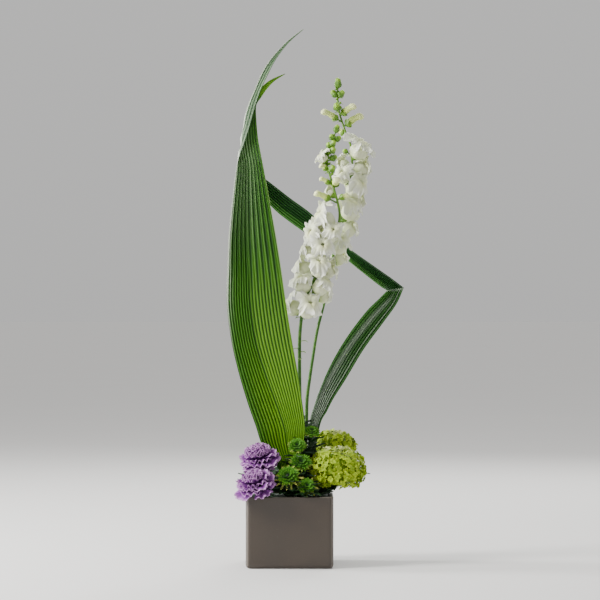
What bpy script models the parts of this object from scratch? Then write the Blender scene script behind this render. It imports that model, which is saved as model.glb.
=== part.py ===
"""Flower arrangement in a square ceramic vase.

A tall pleated leaf, a creased narrow leaf and two white snapdragons rise from a low
cluster of carnations, button chrysanthemums and hydrangeas. Every stem stands in a
hole in a block of floral foam. Dimensions are in millimetres until a mesh is made.
The origin is at the centre of the underside of the vase, with +Z up and the front at -Y.
"""

import math
import random

import bmesh
import bpy
from mathutils import Vector

MM = 0.001
SHORTEST_EDGE = 0.000002
GAP = 0.35
SEED = 11

# Vase
VASE_SIDE = 125.0
VASE_HEIGHT = 102.0
VASE_WALL = 5.5
VASE_FLOOR = 6.0
VASE_CORNER = 7.0
VASE_FOOT_ROUND = 5.0
VASE_RIM_ROUND = 1.2
INNER_ROUND = 4.0
TIGHTEST_CORNER = 1.6

# Foam and the holes in it
FOAM_TOP = 98.0
FOAM_EDGE = 2.0
ROOT_DEPTH = 40.0
HOLE_CLEARANCE = 0.75
HOLE_OVERRUN = 6.0
HOLE_SIDES = 6

# Angles past which an edge is shaded sharp
VASE_CREASE = 0.7
LEAF_CREASE = 0.5
PETAL_CREASE = 0.9

# All leaves
BLADE = 0.9
STALK_SIDES = 8

# Tall leaf: columns across it, pleat height, and the broad valley along it.
TALL_COLUMNS = 18
TALL_FOLD_COLUMN = 7
TALL_PLEAT = 1.3
TALL_PLEAT_WIDTH = 60.0
CURLED_PLEAT_SHARE = 0.35
TALL_VALLEY = 0.42
TALL_VALLEY_REACH = 0.58
TALL_VALLEY_DEPTH = 7.0
TALL_VALLEY_WIDTH = 70.0
TALL_STALK = [(0.5, -3.0, 98), (0.5, -3.5, 116), (0.5, -4.0, 132)]
TALL_STALK_RADII = (4.2, 1.6)

# Margin of the tall leaf that curls over: its bend, its lift off the blade, and how fast it rolls.
CURL_RADIUS = 3.0
CURL_TURN = 2.2
CURL_LIFT = 5.0
CURL_FULL_WIDTH = 6.0
CURL_WIDEST = 11.0
CURL_ROLL = 2.4
CURL_START = 0.45
CURL_SPREAD = 1.1

# Snapdragons
FRONT_STEM_RADII = (3.0, 1.1)
BACK_STEM_RADII = (2.9, 1.1)
STEM_SIDES = 5
PEDICEL_RADIUS = 1.1
PETAL = 0.8

# Floret: trumpet base, then share of the width and of the length at its throat and its lips.
FLORET_BASE = 2.2
FLORET_DEPTH = 0.85
FLORET_DROP = 0.7
PEDICEL_SHORTEST = 5.5
LOWER_THROAT = (0.28, 0.6)
UPPER_THROAT = (0.29, 0.62)
LOWER_LIP_HEIGHT = 0.78
UPPER_LIP_HEIGHT = 1.0
LOBE_LIFT = 0.6
NOTCH_DROP = 1.0
LONG_LOBE = 0.4
# Its lobes: angle from the middle of the upper lip, then reach as a share of the width.
LOBES = [(0, 0.4), (32, 0.52), (68, 0.35), (114, 0.47), (180, 0.5), (246, 0.47), (292, 0.35),
         (328, 0.52)]

# Calyx cup below a floret: radius and height over the cup's floor, then its rim.
CALYX_SIDES = 5
CALYX_CUP = [(1.3, -2.4), (3.9, -0.5)]
CALYX_RIM = (5.9, 4.2)
CALYX_INSIDE = 3.5

# Bud: share of the radius and of the length.
BUD_PROFILE = [(0.42, 0.0), (1.0, 0.35), (0.8, 0.7), (0.15, 1.0)]
BUD_STALK_SHARE = 0.8
BUD_STALK_SHORTEST = 0.5
CREAM_BUD_SIDES = 6
GREEN_BUD_SIDES = 4
CREAM_BUD_DROP = 0.7
GREEN_BUD_DROP = 0.8

# Each stem lists its own points from the foam up. X, Y, Z.
FRONT_STEM = [(15, 2, 98), (15, 2, 194), (14, 1, 287), (15, 0, 339), (22, -2, 382), (34, -3, 408),
              (47, -5, 447), (62, -6, 471), (70, -7, 490), (72, -8, 505), (70, -8, 519), (65, -9, 538),
              (58, -10, 561), (54, -10, 579), (59, -10, 605), (66, -10, 624)]
BACK_STEM = [(19, 17, 98), (22, 19, 150), (24, 20, 193), (25, 21, 237), (29, 22, 269), (34, 24, 302),
             (40, 27, 338), (51, 32, 383), (60, 38, 433), (70, 43, 477), (81, 46, 528), (88, 46, 561),
             (91, 46, 580), (89, 45, 607), (82, 44, 626), (76, 43, 644), (72, 42, 658), (70, 41, 676),
             (70, 40, 692)]

# Florets: middle of the face X, Y, Z, then the width of the face.
FRONT_FLORETS = [(-4, -2, 381, 32), (31, -30, 376, 32), (14, -18, 413, 32), (55, -18, 408, 31),
                 (57, 19, 392, 26), (13, 4, 436.5, 31), (45, -43, 433, 31), (64, 14, 430, 28),
                 (20, -4, 460.5, 26), (48, -36, 460.5, 29), (29, -27, 480, 30), (42, -18, 507, 34),
                 (34, 7, 489, 28), (62, -36, 480, 25), (44, -14, 591, 20), (54, 2, 541, 18)]
BACK_FLORETS = [(108, 36, 611, 37), (112, 62, 583, 34), (104, 30, 554, 34), (103, 62, 536, 30),
                (96, 24, 520, 33), (95, 50, 494, 31), (77, 14, 468, 30), (76, 58, 450, 28),
                (74, 26, 567, 24), (73, 54, 587, 20), (89, 80, 512, 30), (92, 84, 562, 28)]

# Cream buds and small green buds: tip X, Y, Z, then length and radius.
FRONT_CREAM_BUDS = [(37, -18, 537, 22, 4.8), (68, -30, 556, 17, 5.2), (44, -12, 558, 14, 3.6),
                    (44, -13, 577, 11, 4.2), (84, -11, 534, 11, 4.0)]
BACK_CREAM_BUDS = [(48, 34, 659, 24, 5.0), (94, 32, 667, 22, 5.2), (105, 46, 654, 26, 5.8),
                   (72, 58, 632, 14, 4.6)]
FRONT_GREEN_BUDS = [(70, -10, 635, 12, 3.6), (59, -12, 621, 9, 3.4), (74, -10, 617, 9, 3.4),
                    (55, -14, 609, 9, 3.6), (65, -18, 611, 10, 4.0), (51, -8, 600, 9, 3.6),
                    (65, -18, 601, 10, 4.2), (68, -8, 590, 10, 4.0), (64, -18, 575, 11, 4.2)]
BACK_GREEN_BUDS = [(70, 40, 707, 15, 4.2), (60, 40, 688, 12, 4.0), (79, 38, 688, 12, 4.0),
                   (67, 30, 668, 12, 4.8), (78, 34, 601, 8, 3.0)]

# Tall leaf rows from the foam up: Z, left X, right X, Y, width of the margin curled over to the front.
TALL_ROWS = [(118, -3, 5, -4, 0), (148, -23, 15, -5, 0), (173, -40, 20, -7, 0),
             (200, -49, 22, -12, 0), (235, -61, 18, -18, 0), (280, -74, 11, -25, 0),
             (325, -84, 3, -32, 0), (375, -90, -5, -38, 0), (425, -89, -12, -41, 0),
             (475, -87, -20, -42, 0), (525, -82, -29, -40, 0), (572, -76.5, -37.5, -35.5, 0),
             (590, -74, -41, -32.5, 3), (612, -70.5, -45, -30, 7.5), (637, -66, -47.5, -27, 10.5),
             (661, -60, -48, -24, 11)]

# The two lobes of its split tip: edge nearer the outside, then the other edge. X, Y, Z.
OUTER_LOBE = [((-51, -19, 684), (-41, -24, 685)), ((-40, -15, 710), (-31, -19, 707)),
              ((-28, -12, 729), (-22, -14, 725)), ((-14, -9, 745), (-10.5, -10, 742)),
              ((0, -7, 758.5), (2, -7, 756.5)), ((19, -4, 773), (20, -4, 772))]
INNER_LOBE = [((-49, -15, 678), (-41, -13, 674)), ((-40, -10, 689.5), (-33, -9, 686)),
              ((-27, -6, 700), (-22.5, -6, 697.5)), ((-7, -2, 709), (-6, -2, 708))]

# Creased leaf: left or lower edge, then the other edge. X, Y, Z.
FOLDED_EDGES = [((22, 28, 98), (29, 28, 98)), ((25, 27, 150), (36, 26, 150)),
                ((29, 27, 204), (44, 27, 200)), ((35, 30, 226), (54, 30, 220)),
                ((44, 33, 252), (64, 33, 239)), ((59, 37, 286), (82, 37, 267)),
                ((81, 42, 324), (108, 42, 310)), ((110, 47, 363), (136, 47, 348)),
                ((132, 50, 385), (156, 50, 376)), ((143, 54, 396), (167, 54, 400)),
                ((132, 62, 403), (149, 60, 414)), ((103, 74, 426), (118, 70, 436)),
                ((67, 88, 455), (81, 82, 463)), ((41, 94, 471), (56, 90, 486)),
                ((15, 95, 487), (30, 92, 511)), ((-15, 92, 509), (0, 90, 533)),
                ((-32, 84, 525), (-21, 82, 549)), ((-50, 74, 543), (-41, 73, 563)),
                ((-64, 62, 568), (-62, 62, 571))]
FOLDED_COLUMNS = 6
FOLDED_PLEAT = 1.2
FOLDED_BELLY = 3.0
FOLDED_FULL_WIDTH = 24.0
FOLDED_STALK = [(25.5, 28.0, 98), (27, 28.5, 122), (30, 28, 148)]
FOLDED_STALK_RADII = (4.0, 1.4)

# Carnations: middle of the collar, facing direction, radius, stem root X, Y, length of the calyx tube.
CARNATIONS = {"upper": ((-42.5, -30, 149.5), (-0.16, -0.22, 0.95), 29.0, (-30, -14), 20.0),
              "lower": ((-46.5, -58, 114), (-0.26, -0.38, 0.9), 31.0, (-41, -45), 8.0)}
# Layers from the outside in: radius, rise of the edge, height of the root, petals, ruffle.
CARNATION_LAYERS = [(1.0, 0.0, 0.0, 6, 2.6), (0.8, 10.0, 3.0, 5, 2.4), (0.5, 16.0, 7.0, 4, 2.0)]
CARNATION_CORE = [(2.4, -4.0), (5.4, 0.0), (6.0, 8.0), (3.4, 17.0)]
CARNATION_PETAL = 1.0
# Reach of a petal's edge from one side of it to the other.
CARNATION_EDGE = (0.74, 0.97, 1.0, 0.95)
# Its tube below the collar: radius and share of the length.
CARNATION_CALYX = [(2.6, 1.0), (4.6, 0.85), (5.6, 0.45), (6.4, 0.0)]
CARNATION_STEM_RADII = (2.4, 2.2)
CALYX_DROP = 4.35
# Share of the tube that the stem stops short by, and where its bend is.
CALYX_OVERLAP = 0.8
STEM_BEND = 0.6
STEM_BEND_LIFT = 1.0

# Hydrangeas: middle, half sizes of the core, florets, stem points from the foam up.
HYDRANGEAS = {"front": ((68, -12, 138), (34, 31, 25), 28,
                        [(42, -12, 99), (51, -12, 104.8), (58, -12, 107)]),
              "back": ((66, 50, 167), (24, 21, 17), 14,
                       [(46, 38, 98), (56, 44, 120), (63, 47.5, 138)])}
HYDRANGEA_STEM_RADII = (3.0, 2.2)
CORE_SIDES = 12
CORE_ROWS = 8
# Share of the head's height that florets cover, from the top down.
SEPAL_COVER = 0.8
SEAT_OFFSET = {"front": -9.0, "back": -3.4}
# Their leaves: start, direction, length, width, droop.
HYDRANGEA_LEAVES = {"front": [((46.5, -12, 102.4), (-0.3, -1.0, 0.08), 44.0, 30.0, 3.0)],
                    "back": [((58, 45, 125), (1.0, 0.1, 0.14), 60.0, 30.0, 6.0)]}
# Their florets: reach of a sepal, height over the core, and the notch between two sepals.
SEPAL_REACH = 12.4
SEPAL_STAND = 6.5
SEPAL_NOTCH = 0.42
SEPAL_CURVE = 0.4
NOTCH_CURVE = -1.0
SEPAL_ROOT = 3.0
SEPAL_TILT = 0.2

# Ovate leaves: rows along the blade, width at the stalk, depth of its teeth and lift of its sides.
OVATE_ROWS = 4
OVATE_NECK = 0.05
OVATE_FULLNESS = 0.8
OVATE_TOOTH = 0.88
OVATE_FOLD = 0.25

# Leaves that cover the foam behind: stem root X, Y, height, then each leaf's direction, length and width.
COVER_SPRIGS = {"left": ((-34, 22), 16.0, [((-0.15, 0.3, 1.0), 50.0, 42.0), ((0.4, 0.45, 1.0), 46.0, 38.0),
                                           ((-0.8, 0.1, 0.6), 46.0, 36.0), ((-0.6, -0.8, 0.6), 30.0, 26.0)]),
                "right": ((8, 46), 14.0, [((-0.3, 0.15, 1.0), 44.0, 36.0), ((0.4, 0.1, 1.0), 42.0, 34.0),
                                          ((0.2, 1.0, 0.25), 44.0, 36.0)])}
COVER_STEM_RADII = (2.4, 2.0)
COVER_DROOP = 0.18
# Share of one leaf's spacing that the lowest leaf stands above the foam.
COVER_FIRST = 0.7

# Button chrysanthemums: middle of the head, facing direction, radius, stem root X, Y.
BUTTONS = {"low": ((-2, -54, 131), (-0.15, -0.8, 0.55), 17.0, (-3, -44)),
           "mid": ((16, -36, 149), (0.1, -0.7, 0.7), 17.0, (11, -28)),
           "high": ((11, -24, 172), (-0.1, -0.7, 0.7), 14.0, (5, -18)),
           "top": ((31.5, -4, 191.2), (0.1, -0.6, 0.8), 12.5, (21, 9)),
           "side": ((24, -55, 117), (0.2, -0.8, 0.55), 14.0, (21, -47))}
# Leaves on their stems: direction, length and width.
BUTTON_LEAVES = {"low": [((-0.9, -0.5, 0.05), 30.0, 18.0), ((0.25, -1.0, 0.0), 27.0, 18.0)],
                 "mid": [((-0.9, -0.3, 0.1), 22.0, 13.0), ((0.85, -0.35, 0.6), 22.0, 13.0)],
                 "high": [((-1.0, 0.0, 0.2), 24.0, 14.0)],
                 "top": [((-0.35, -0.5, 0.85), 22.0, 10.0)],
                 "side": [((0.9, -0.75, 0.0), 30.0, 18.0), ((-0.7, -0.8, 0.0), 22.0, 14.0)]}
BUTTON_STEM_RADII = (1.9, 1.7)
# Height of a leaf on its stem's lower part, and its droop as a share of its length.
BUTTON_LEAF_HEIGHT = 0.8
BUTTON_DROOP = 0.1
# Layers of rays: share of the radius, rise and count. Then shares of the layer's own radius.
BUTTON_LAYERS = [(1.0, 0.0, 12), (0.72, 0.36, 9)]
BUTTON_CROWN = 0.35
BUTTON_ROOT = 0.55
RAY_NOTCH = 0.62
RAY_TIP_RISE = 0.1
RAY_NOTCH_RISE = -0.04
BUTTON_NECK = 0.35
BUTTON_BEND_LIFT = 2.0

WHITE = (0.86, 0.87, 0.80)
CREAM = (0.78, 0.82, 0.56)
STEM_GREEN = (0.13, 0.26, 0.05)
TALL_GREEN = (0.10, 0.26, 0.04)
DARK_GREEN = (0.03, 0.10, 0.03)
LILAC = (0.42, 0.24, 0.60)
LIME = (0.47, 0.62, 0.09)
BUTTON_GREEN = (0.10, 0.28, 0.05)
CLAY = (0.30, 0.27, 0.25)
FOAM_GREEN = (0.04, 0.09, 0.05)


def clear_scene():
    """Remove what the file opened with."""
    for item in list(bpy.data.objects):
        bpy.data.objects.remove(item, do_unlink=True)


def plain_material(name, colour, roughness, metallic=0.0):
    """Principled material of one colour."""
    made = bpy.data.materials.new(name)
    made.use_nodes = True
    shader = made.node_tree.nodes["Principled BSDF"]
    shader.inputs["Base Color"].default_value = (*colour, 1.0)
    shader.inputs["Roughness"].default_value = roughness
    shader.inputs["Metallic"].default_value = metallic
    return made


def point_at_height(route, height):
    """Point of a rising route at one height."""
    for low, high in zip(route, route[1:]):
        if low.z <= height <= high.z:
            return low.lerp(high, (height - low.z) / max(high.z - low.z, 1e-6))
    return route[-1].copy() if height > route[-1].z else route[0].copy()


def axes_for(direction, upright=Vector((0, 0, 1))):
    """Side, up and forward axes, with forward along the direction."""
    forward = Vector(direction).normalized()
    side = upright.cross(forward)
    if side.length < 0.05:
        side = Vector((0, 1, 0)).cross(forward)
    side.normalize()
    return side, forward.cross(side), forward


def placed(points, origin, direction):
    """Points with local Z turned along the direction and moved to the origin."""
    side, up, forward = axes_for(direction)
    start = Vector(origin)
    return [start + side * p[0] + up * p[1] + forward * p[2] for p in points]


def loft(rings):
    """Closed body through rings of equal count, each counterclockwise about the way they advance."""
    count = len(rings[0])
    points = [Vector(p) for ring in rings for p in ring]
    triangles = []
    for row in range(len(rings) - 1):
        for i in range(count):
            a, b = row * count + i, row * count + (i + 1) % count
            triangles += [(a, b, b + count), (a, b + count, a + count)]
    first, last = len(points), len(points) + 1
    points.append(sum(points[:count], Vector()) / count)
    points.append(sum((Vector(p) for p in rings[-1]), Vector()) / count)
    top = (len(rings) - 1) * count
    for i in range(count):
        following = (i + 1) % count
        triangles += [(first, following, i), (last, top + i, top + following)]
    return points, triangles


def circle(radius, height, sides):
    """Ring of points about Z."""
    step = 2 * math.pi / sides
    return [Vector((radius * math.cos(i * step), radius * math.sin(i * step), height)) for i in range(sides)]


def turned(profile, sides):
    """Closed body turned about Z from pairs of radius and height, bottom first."""
    return loft([circle(radius, height, sides) for radius, height in profile])


def tube(route, radii, sides):
    """Closed tube along a route, its radius running from the first value to the second."""
    rings = []
    side = None
    for i, centre in enumerate(route):
        along = (route[min(i + 1, len(route) - 1)] - route[max(i - 1, 0)]).normalized()
        if side is None:
            side = along.orthogonal()
        side = (side - along * side.dot(along)).normalized()
        across = along.cross(side)
        radius = radii[0] + (radii[1] - radii[0]) * i / (len(route) - 1)
        rings.append([centre + side * p.x + across * p.y for p in circle(radius, 0, sides)])
    return loft(rings)


def surface_normals(points, triangles):
    """Area-weighted normal at each point."""
    normals = [Vector() for _ in points]
    for a, b, c in triangles:
        face = (points[b] - points[a]).cross(points[c] - points[a])
        for i in (a, b, c):
            normals[i] += face
    return [n.normalized() for n in normals]


def thicken(points, triangles, thickness):
    """Closed blade from an open surface, with both faces split into the same triangles."""
    normals = surface_normals(points, triangles)
    half, count = thickness / 2, len(points)
    solid = [p + n * half for p, n in zip(points, normals)]
    solid += [p - n * half for p, n in zip(points, normals)]
    faces = list(triangles) + [(c + count, b + count, a + count) for a, b, c in triangles]
    directed = {(t[i], t[(i + 1) % 3]) for t in triangles for i in range(3)}
    for a, b in sorted(directed):
        if (b, a) not in directed:
            faces += [(b, a, a + count), (b, a + count, b + count)]
    return solid, faces


def grid_triangles(rows, columns):
    """Triangles of a grid of points numbered row by row, their diagonals mirrored from column to column."""
    triangles = []
    width = columns + 1
    for row in range(rows):
        for column in range(columns):
            a = row * width + column
            b, d, e = a + 1, a + width, a + width + 1
            triangles += [(a, b, d), (b, e, d)] if column % 2 else [(a, b, e), (a, e, d)]
    return triangles


def polar_cup(rings):
    """Open surface from a middle point outward through rings of equal count."""
    count = len(rings[0])
    middle = sum(rings[0], Vector()) / count
    points = [middle] + [Vector(p) for ring in rings for p in ring]
    triangles = [(0, 1 + i, 1 + (i + 1) % count) for i in range(count)]
    for r in range(len(rings) - 1):
        for i in range(count):
            a, b = 1 + r * count + i, 1 + r * count + (i + 1) % count
            triangles += [(a, a + count, b + count), (a, b + count, b)]
    return points, triangles


def mesh_object(name, body, look):
    """Object from a closed body given in millimetres."""
    points, triangles = body
    mesh = bpy.data.meshes.new(name)
    mesh.from_pydata([p * MM for p in points], [], triangles)
    mesh.materials.append(look)
    mesh.validate()
    made = bpy.data.objects.new(name, mesh)
    bpy.context.scene.collection.objects.link(made)
    return made


def largest_body(mesh):
    """Keep the largest connected body of a mesh, so that sealed hollows and scraps go."""
    work = bmesh.new()
    work.from_mesh(mesh)
    bmesh.ops.dissolve_degenerate(work, dist=SHORTEST_EDGE, edges=work.edges)
    bmesh.ops.triangulate(work, faces=work.faces)
    unseen = set(work.verts)
    bodies = []
    while unseen:
        stack = [unseen.pop()]
        found = list(stack)
        while stack:
            for edge in stack.pop().link_edges:
                for vert in edge.verts:
                    if vert in unseen:
                        unseen.remove(vert)
                        stack.append(vert)
                        found.append(vert)
        bodies.append(found)
    bodies.sort(key=len)
    for body in bodies[:-1]:
        bmesh.ops.delete(work, geom=body, context="VERTS")
    work.to_mesh(mesh)
    work.free()


def combined(name, bodies, look, operation="UNION"):
    """One object from a first body and the others, joined to it or cut from it."""
    base = mesh_object(name, bodies[0], look)
    group = bpy.data.collections.new(name + "_parts")
    bpy.context.scene.collection.children.link(group)
    others = []
    for i, body in enumerate(bodies[1:]):
        piece = mesh_object(f"{name}_part_{i}", body, look)
        bpy.context.scene.collection.objects.unlink(piece)
        group.objects.link(piece)
        piece.hide_render = True
        piece.display_type = "WIRE"
        others.append(piece)
    joiner = base.modifiers.new("join", "BOOLEAN")
    joiner.operation = operation
    joiner.operand_type = "COLLECTION"
    joiner.collection = group
    joiner.solver = "EXACT"
    bpy.context.view_layer.update()
    graph = bpy.context.evaluated_depsgraph_get()
    result = bpy.data.meshes.new_from_object(base.evaluated_get(graph))
    base.modifiers.remove(joiner)
    base.data = result
    largest_body(result)
    for piece in others:
        bpy.data.objects.remove(piece, do_unlink=True)
    bpy.data.collections.remove(group)
    return base


def shade_round(item, angle=PETAL_CREASE):
    """Smooth shading with edges sharper than the angle kept."""
    item.data.shade_smooth()
    item.data.set_sharp_from_angle(angle=angle)


def square_ring(half, corner, height, steps=4):
    """Square ring with round corners, counterclockwise from above."""
    ring = []
    for quarter, (sx, sy) in enumerate(((1, 1), (-1, 1), (-1, -1), (1, -1))):
        for i in range(steps + 1):
            turn = math.pi / 2 * (quarter + i / steps)
            ring.append(Vector((sx * (half - corner) + corner * math.cos(turn),
                                sy * (half - corner) + corner * math.sin(turn), height)))
    return ring


def inset_square(inset, height, steps=4):
    """Square ring inside the vase's outline by the inset, with its corners narrowed to match."""
    return square_ring(VASE_SIDE / 2 - inset, max(VASE_CORNER - inset, TIGHTEST_CORNER), height, steps)


def build_vase(look):
    """Open square vase with round foot, corners and rim."""
    slant = VASE_FOOT_ROUND * (1 - math.sqrt(0.5))
    rings = [inset_square(VASE_FOOT_ROUND, 0),
             inset_square(slant, slant),
             inset_square(0, VASE_FOOT_ROUND),
             inset_square(0, VASE_HEIGHT - VASE_RIM_ROUND),
             inset_square(VASE_RIM_ROUND, VASE_HEIGHT),
             inset_square(VASE_WALL - VASE_RIM_ROUND, VASE_HEIGHT),
             inset_square(VASE_WALL, VASE_HEIGHT - VASE_RIM_ROUND),
             inset_square(VASE_WALL, VASE_FLOOR + INNER_ROUND),
             inset_square(VASE_WALL + INNER_ROUND, VASE_FLOOR)]
    vase = mesh_object("vase", loft(rings), look)
    shade_round(vase, VASE_CREASE)
    return vase


def build_foam(look, stems):
    """Foam block that fills the vase, with a hole for each stem."""
    side = VASE_WALL + GAP
    block = loft([inset_square(side + INNER_ROUND, VASE_FLOOR + GAP, 1),
                  inset_square(side, VASE_FLOOR + GAP + INNER_ROUND, 1),
                  inset_square(side, FOAM_TOP - FOAM_EDGE, 1),
                  inset_square(side + FOAM_EDGE, FOAM_TOP, 1)])
    cutters = []
    for base, top, radius in stems:
        way = (top - base).normalized()
        cutters.append(tube([base - way * HOLE_CLEARANCE, top + way * HOLE_OVERRUN],
                            (radius + HOLE_CLEARANCE, radius + HOLE_CLEARANCE), HOLE_SIDES))
    return combined("floral_foam", [block] + cutters, look, operation="DIFFERENCE")


def rooted(root, first, radius, stems):
    """Straight buried end below the first point of a stem, noted for its hole in the foam."""
    base = Vector((root[0], root[1], FOAM_TOP - ROOT_DEPTH))
    top = Vector(first)
    stems.append((base, top, radius))
    return base


def section_points(left, right, depth, curl):
    """One row across the tall leaf in plan, from its left margin to its right one.

    With a curl, the margin first runs back to the left for the curl's width, turns round a
    small bend and then crosses to the right margin. The wider the curl, the more columns are in it.
    """
    points = []
    fold = TALL_FOLD_COLUMN * curl / CURL_WIDEST
    grown = min(1.0, curl / CURL_FULL_WIDTH)
    for column in range(TALL_COLUMNS + 1):
        if column < fold:
            share = 1 - column / fold
            rise = (1 - (1 - share) ** CURL_ROLL) * (CURL_START + (1 - CURL_START) * share)
            points.append((left + curl * share ** CURL_SPREAD, depth - CURL_LIFT * grown * rise))
        else:
            share = (column - fold) / (TALL_COLUMNS - fold)
            turn = min(share * CURL_TURN, 1) * math.pi / 2
            points.append((left + (right - left) * share, depth + CURL_RADIUS * grown * math.sin(turn)))
    return points


def tall_leaf_surface():
    """Smooth surface of the tall leaf with pleats added across it."""
    points = []
    for height, left, right, depth, curl in TALL_ROWS:
        width = right - left
        pleat = TALL_PLEAT * min(1.0, width / TALL_PLEAT_WIDTH) * (CURLED_PLEAT_SHARE if curl else 1.0)
        flat = 1 - min(1.0, curl / CURL_FULL_WIDTH)
        bowl = TALL_VALLEY_DEPTH * flat * min(1.0, width / TALL_VALLEY_WIDTH)
        for column, (x, y) in enumerate(section_points(left, right, depth, curl)):
            away = abs(column / TALL_COLUMNS - TALL_VALLEY) / TALL_VALLEY_REACH
            inner = 0 < column < TALL_COLUMNS
            ripple = pleat * (1 if column % 2 else -1) if inner else 0.0
            points.append(Vector((x, y + bowl * max(0.0, 1 - away) + ripple, height)))
    rows = len(TALL_ROWS) - 1
    triangles = grid_triangles(rows, TALL_COLUMNS)
    split = rows * (TALL_COLUMNS + 1)
    for lobe, first, last in ((OUTER_LOBE, 0, TALL_FOLD_COLUMN),
                              (INNER_LOBE, TALL_FOLD_COLUMN, TALL_COLUMNS)):
        below = list(range(split + first, split + last + 1))
        for near, far in lobe:
            start, end = (Vector(far), Vector(near)) if first == 0 else (Vector(near), Vector(far))
            above = list(range(len(points), len(points) + len(below)))
            points += [start.lerp(end, i / (last - first)) for i in range(last - first + 1)]
            for i in range(last - first):
                a, b, d, e = below[i], below[i + 1], above[i], above[i + 1]
                triangles += [(a, b, e), (a, e, d)] if i % 2 == 0 else [(a, b, d), (b, e, d)]
            below = above
    return points, triangles


def build_stalked_leaf(name, blade, stalk, radii, look, stems):
    """Leaf of a closed blade joined to its stalk, which stands in the foam."""
    line = [Vector(p) for p in stalk]
    base = rooted(line[0], line[0], radii[0], stems)
    leaf = combined(name, [blade, tube([base] + line, radii, STALK_SIDES)], look)
    shade_round(leaf, LEAF_CREASE)
    return leaf


def build_tall_leaf(look, stems):
    """Tall pleated leaf."""
    points, triangles = tall_leaf_surface()
    blade = thicken(points, triangles, BLADE)
    return build_stalked_leaf("leaf_tall", blade, TALL_STALK, TALL_STALK_RADII, look, stems)


def build_folded_leaf(look, stems):
    """Narrow pleated leaf with one sharp crease."""
    points = []
    middle = FOLDED_COLUMNS / 2
    for near, far in FOLDED_EDGES:
        start, end = Vector(near), Vector(far)
        fullness = min(1.0, (end - start).length / FOLDED_FULL_WIDTH)
        for column in range(FOLDED_COLUMNS + 1):
            inner = 0 < column < FOLDED_COLUMNS
            ripple = FOLDED_PLEAT * (1 if column % 2 else -1) if inner else 0.0
            belly = FOLDED_BELLY * (1 - ((column - middle) / middle) ** 2)
            away = Vector((0, (ripple + belly) * fullness, 0))
            points.append(start.lerp(end, column / FOLDED_COLUMNS) + away)
    blade = thicken(points, grid_triangles(len(FOLDED_EDGES) - 1, FOLDED_COLUMNS), BLADE)
    return build_stalked_leaf("leaf_folded", blade, FOLDED_STALK, FOLDED_STALK_RADII, look, stems)


def floret_body(width, length):
    """Two-lipped trumpet about Z with its upper lip toward +Y and its closed base at Z 0."""
    base, throat, lips = [], [], []
    for angle, reach in LOBES:
        turn = math.radians(angle + 90)
        way = Vector((math.cos(turn), math.sin(turn), 0))
        upper = (1 + math.cos(math.radians(angle))) / 2
        radius, height = (low + (high - low) * upper for low, high in zip(LOWER_THROAT, UPPER_THROAT))
        lip_height = length * (LOWER_LIP_HEIGHT + (UPPER_LIP_HEIGHT - LOWER_LIP_HEIGHT) * upper)
        lift = LOBE_LIFT if reach > LONG_LOBE else -NOTCH_DROP
        base.append(way * FLORET_BASE)
        throat.append(way * radius * width + Vector((0, 0, height * length)))
        lips.append(way * reach * width + Vector((0, 0, lip_height + lift)))
    points, triangles = polar_cup([base, throat, lips])
    return thicken(points, triangles, PETAL)


def calyx_body(stalk):
    """Flower stalk along Z that opens into a five-pointed green cup, for a base at Z 0."""
    floor = -PETAL / 2 - GAP
    outside = [circle(radius, floor + height, CALYX_SIDES) for radius, height in CALYX_CUP]
    return loft([circle(PEDICEL_RADIUS, -stalk, CALYX_SIDES)] + outside
                + [circle(*CALYX_RIM, CALYX_SIDES), circle(CALYX_INSIDE, floor, CALYX_SIDES)])


def bud_body(length, radius, sides, stalk=0.0):
    """Closed teardrop about Z from its base at Z 0, with a stalk below it."""
    profile = [(radius * across, length * along) for across, along in BUD_PROFILE]
    if stalk:
        profile = [(PEDICEL_RADIUS * BUD_STALK_SHARE, -stalk)] + profile
    return turned(profile, sides)


def shifted(body, origin, direction):
    """A body moved to an origin and turned along a direction."""
    return placed(body[0], origin, direction), body[1]


def outward(route, target, drop):
    """Point of the stem below the target by a drop, and the way from it to the target."""
    start = point_at_height(route, target.z - drop)
    return start, (target - start).normalized()


def build_snapdragon(label, points, radii, root, florets, cream_buds, green_buds, looks, stems):
    """Snapdragon spike: a green stem with its calyxes and buds, and separate florets and cream buds."""
    rising = [Vector(p) for p in points]
    base = rooted(root, rising[0], radii[0], stems)
    bodies = [tube([base] + rising, radii, STEM_SIDES)]
    for number, (x, y, z, width) in enumerate(florets, 1):
        face = Vector((x, y, z))
        start, way = outward(rising, face, width * FLORET_DROP)
        length = min(FLORET_DEPTH * width, (face - start).length - PEDICEL_SHORTEST)
        seat = face - way * length
        bodies.append(shifted(calyx_body((seat - start).length), seat, way))
        floret = mesh_object(f"{label}_floret_{number:02d}",
                             shifted(floret_body(width, length), seat, way), looks["white"])
        shade_round(floret)
    for number, (x, y, z, length, radius) in enumerate(cream_buds, 1):
        tip = Vector((x, y, z))
        start, way = outward(rising, tip, length * CREAM_BUD_DROP)
        seat = tip - way * length
        bodies.append(shifted(calyx_body((seat - start).length), seat, way))
        bud = mesh_object(f"{label}_bud_{number:02d}",
                          shifted(bud_body(length, radius, CREAM_BUD_SIDES), seat - way * (PETAL / 2), way), looks["cream"])
        shade_round(bud)
    for x, y, z, length, radius in green_buds:
        tip = Vector((x, y, z))
        start, way = outward(rising, tip, length * GREEN_BUD_DROP)
        seat = tip - way * length
        stalk = max((seat - start).dot(way), BUD_STALK_SHORTEST)
        bodies.append(shifted(bud_body(length, radius, GREEN_BUD_SIDES, stalk), seat, way))
    stem = combined(f"{label}_stem", bodies, looks["stem"])
    shade_round(stem)
    return stem


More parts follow.
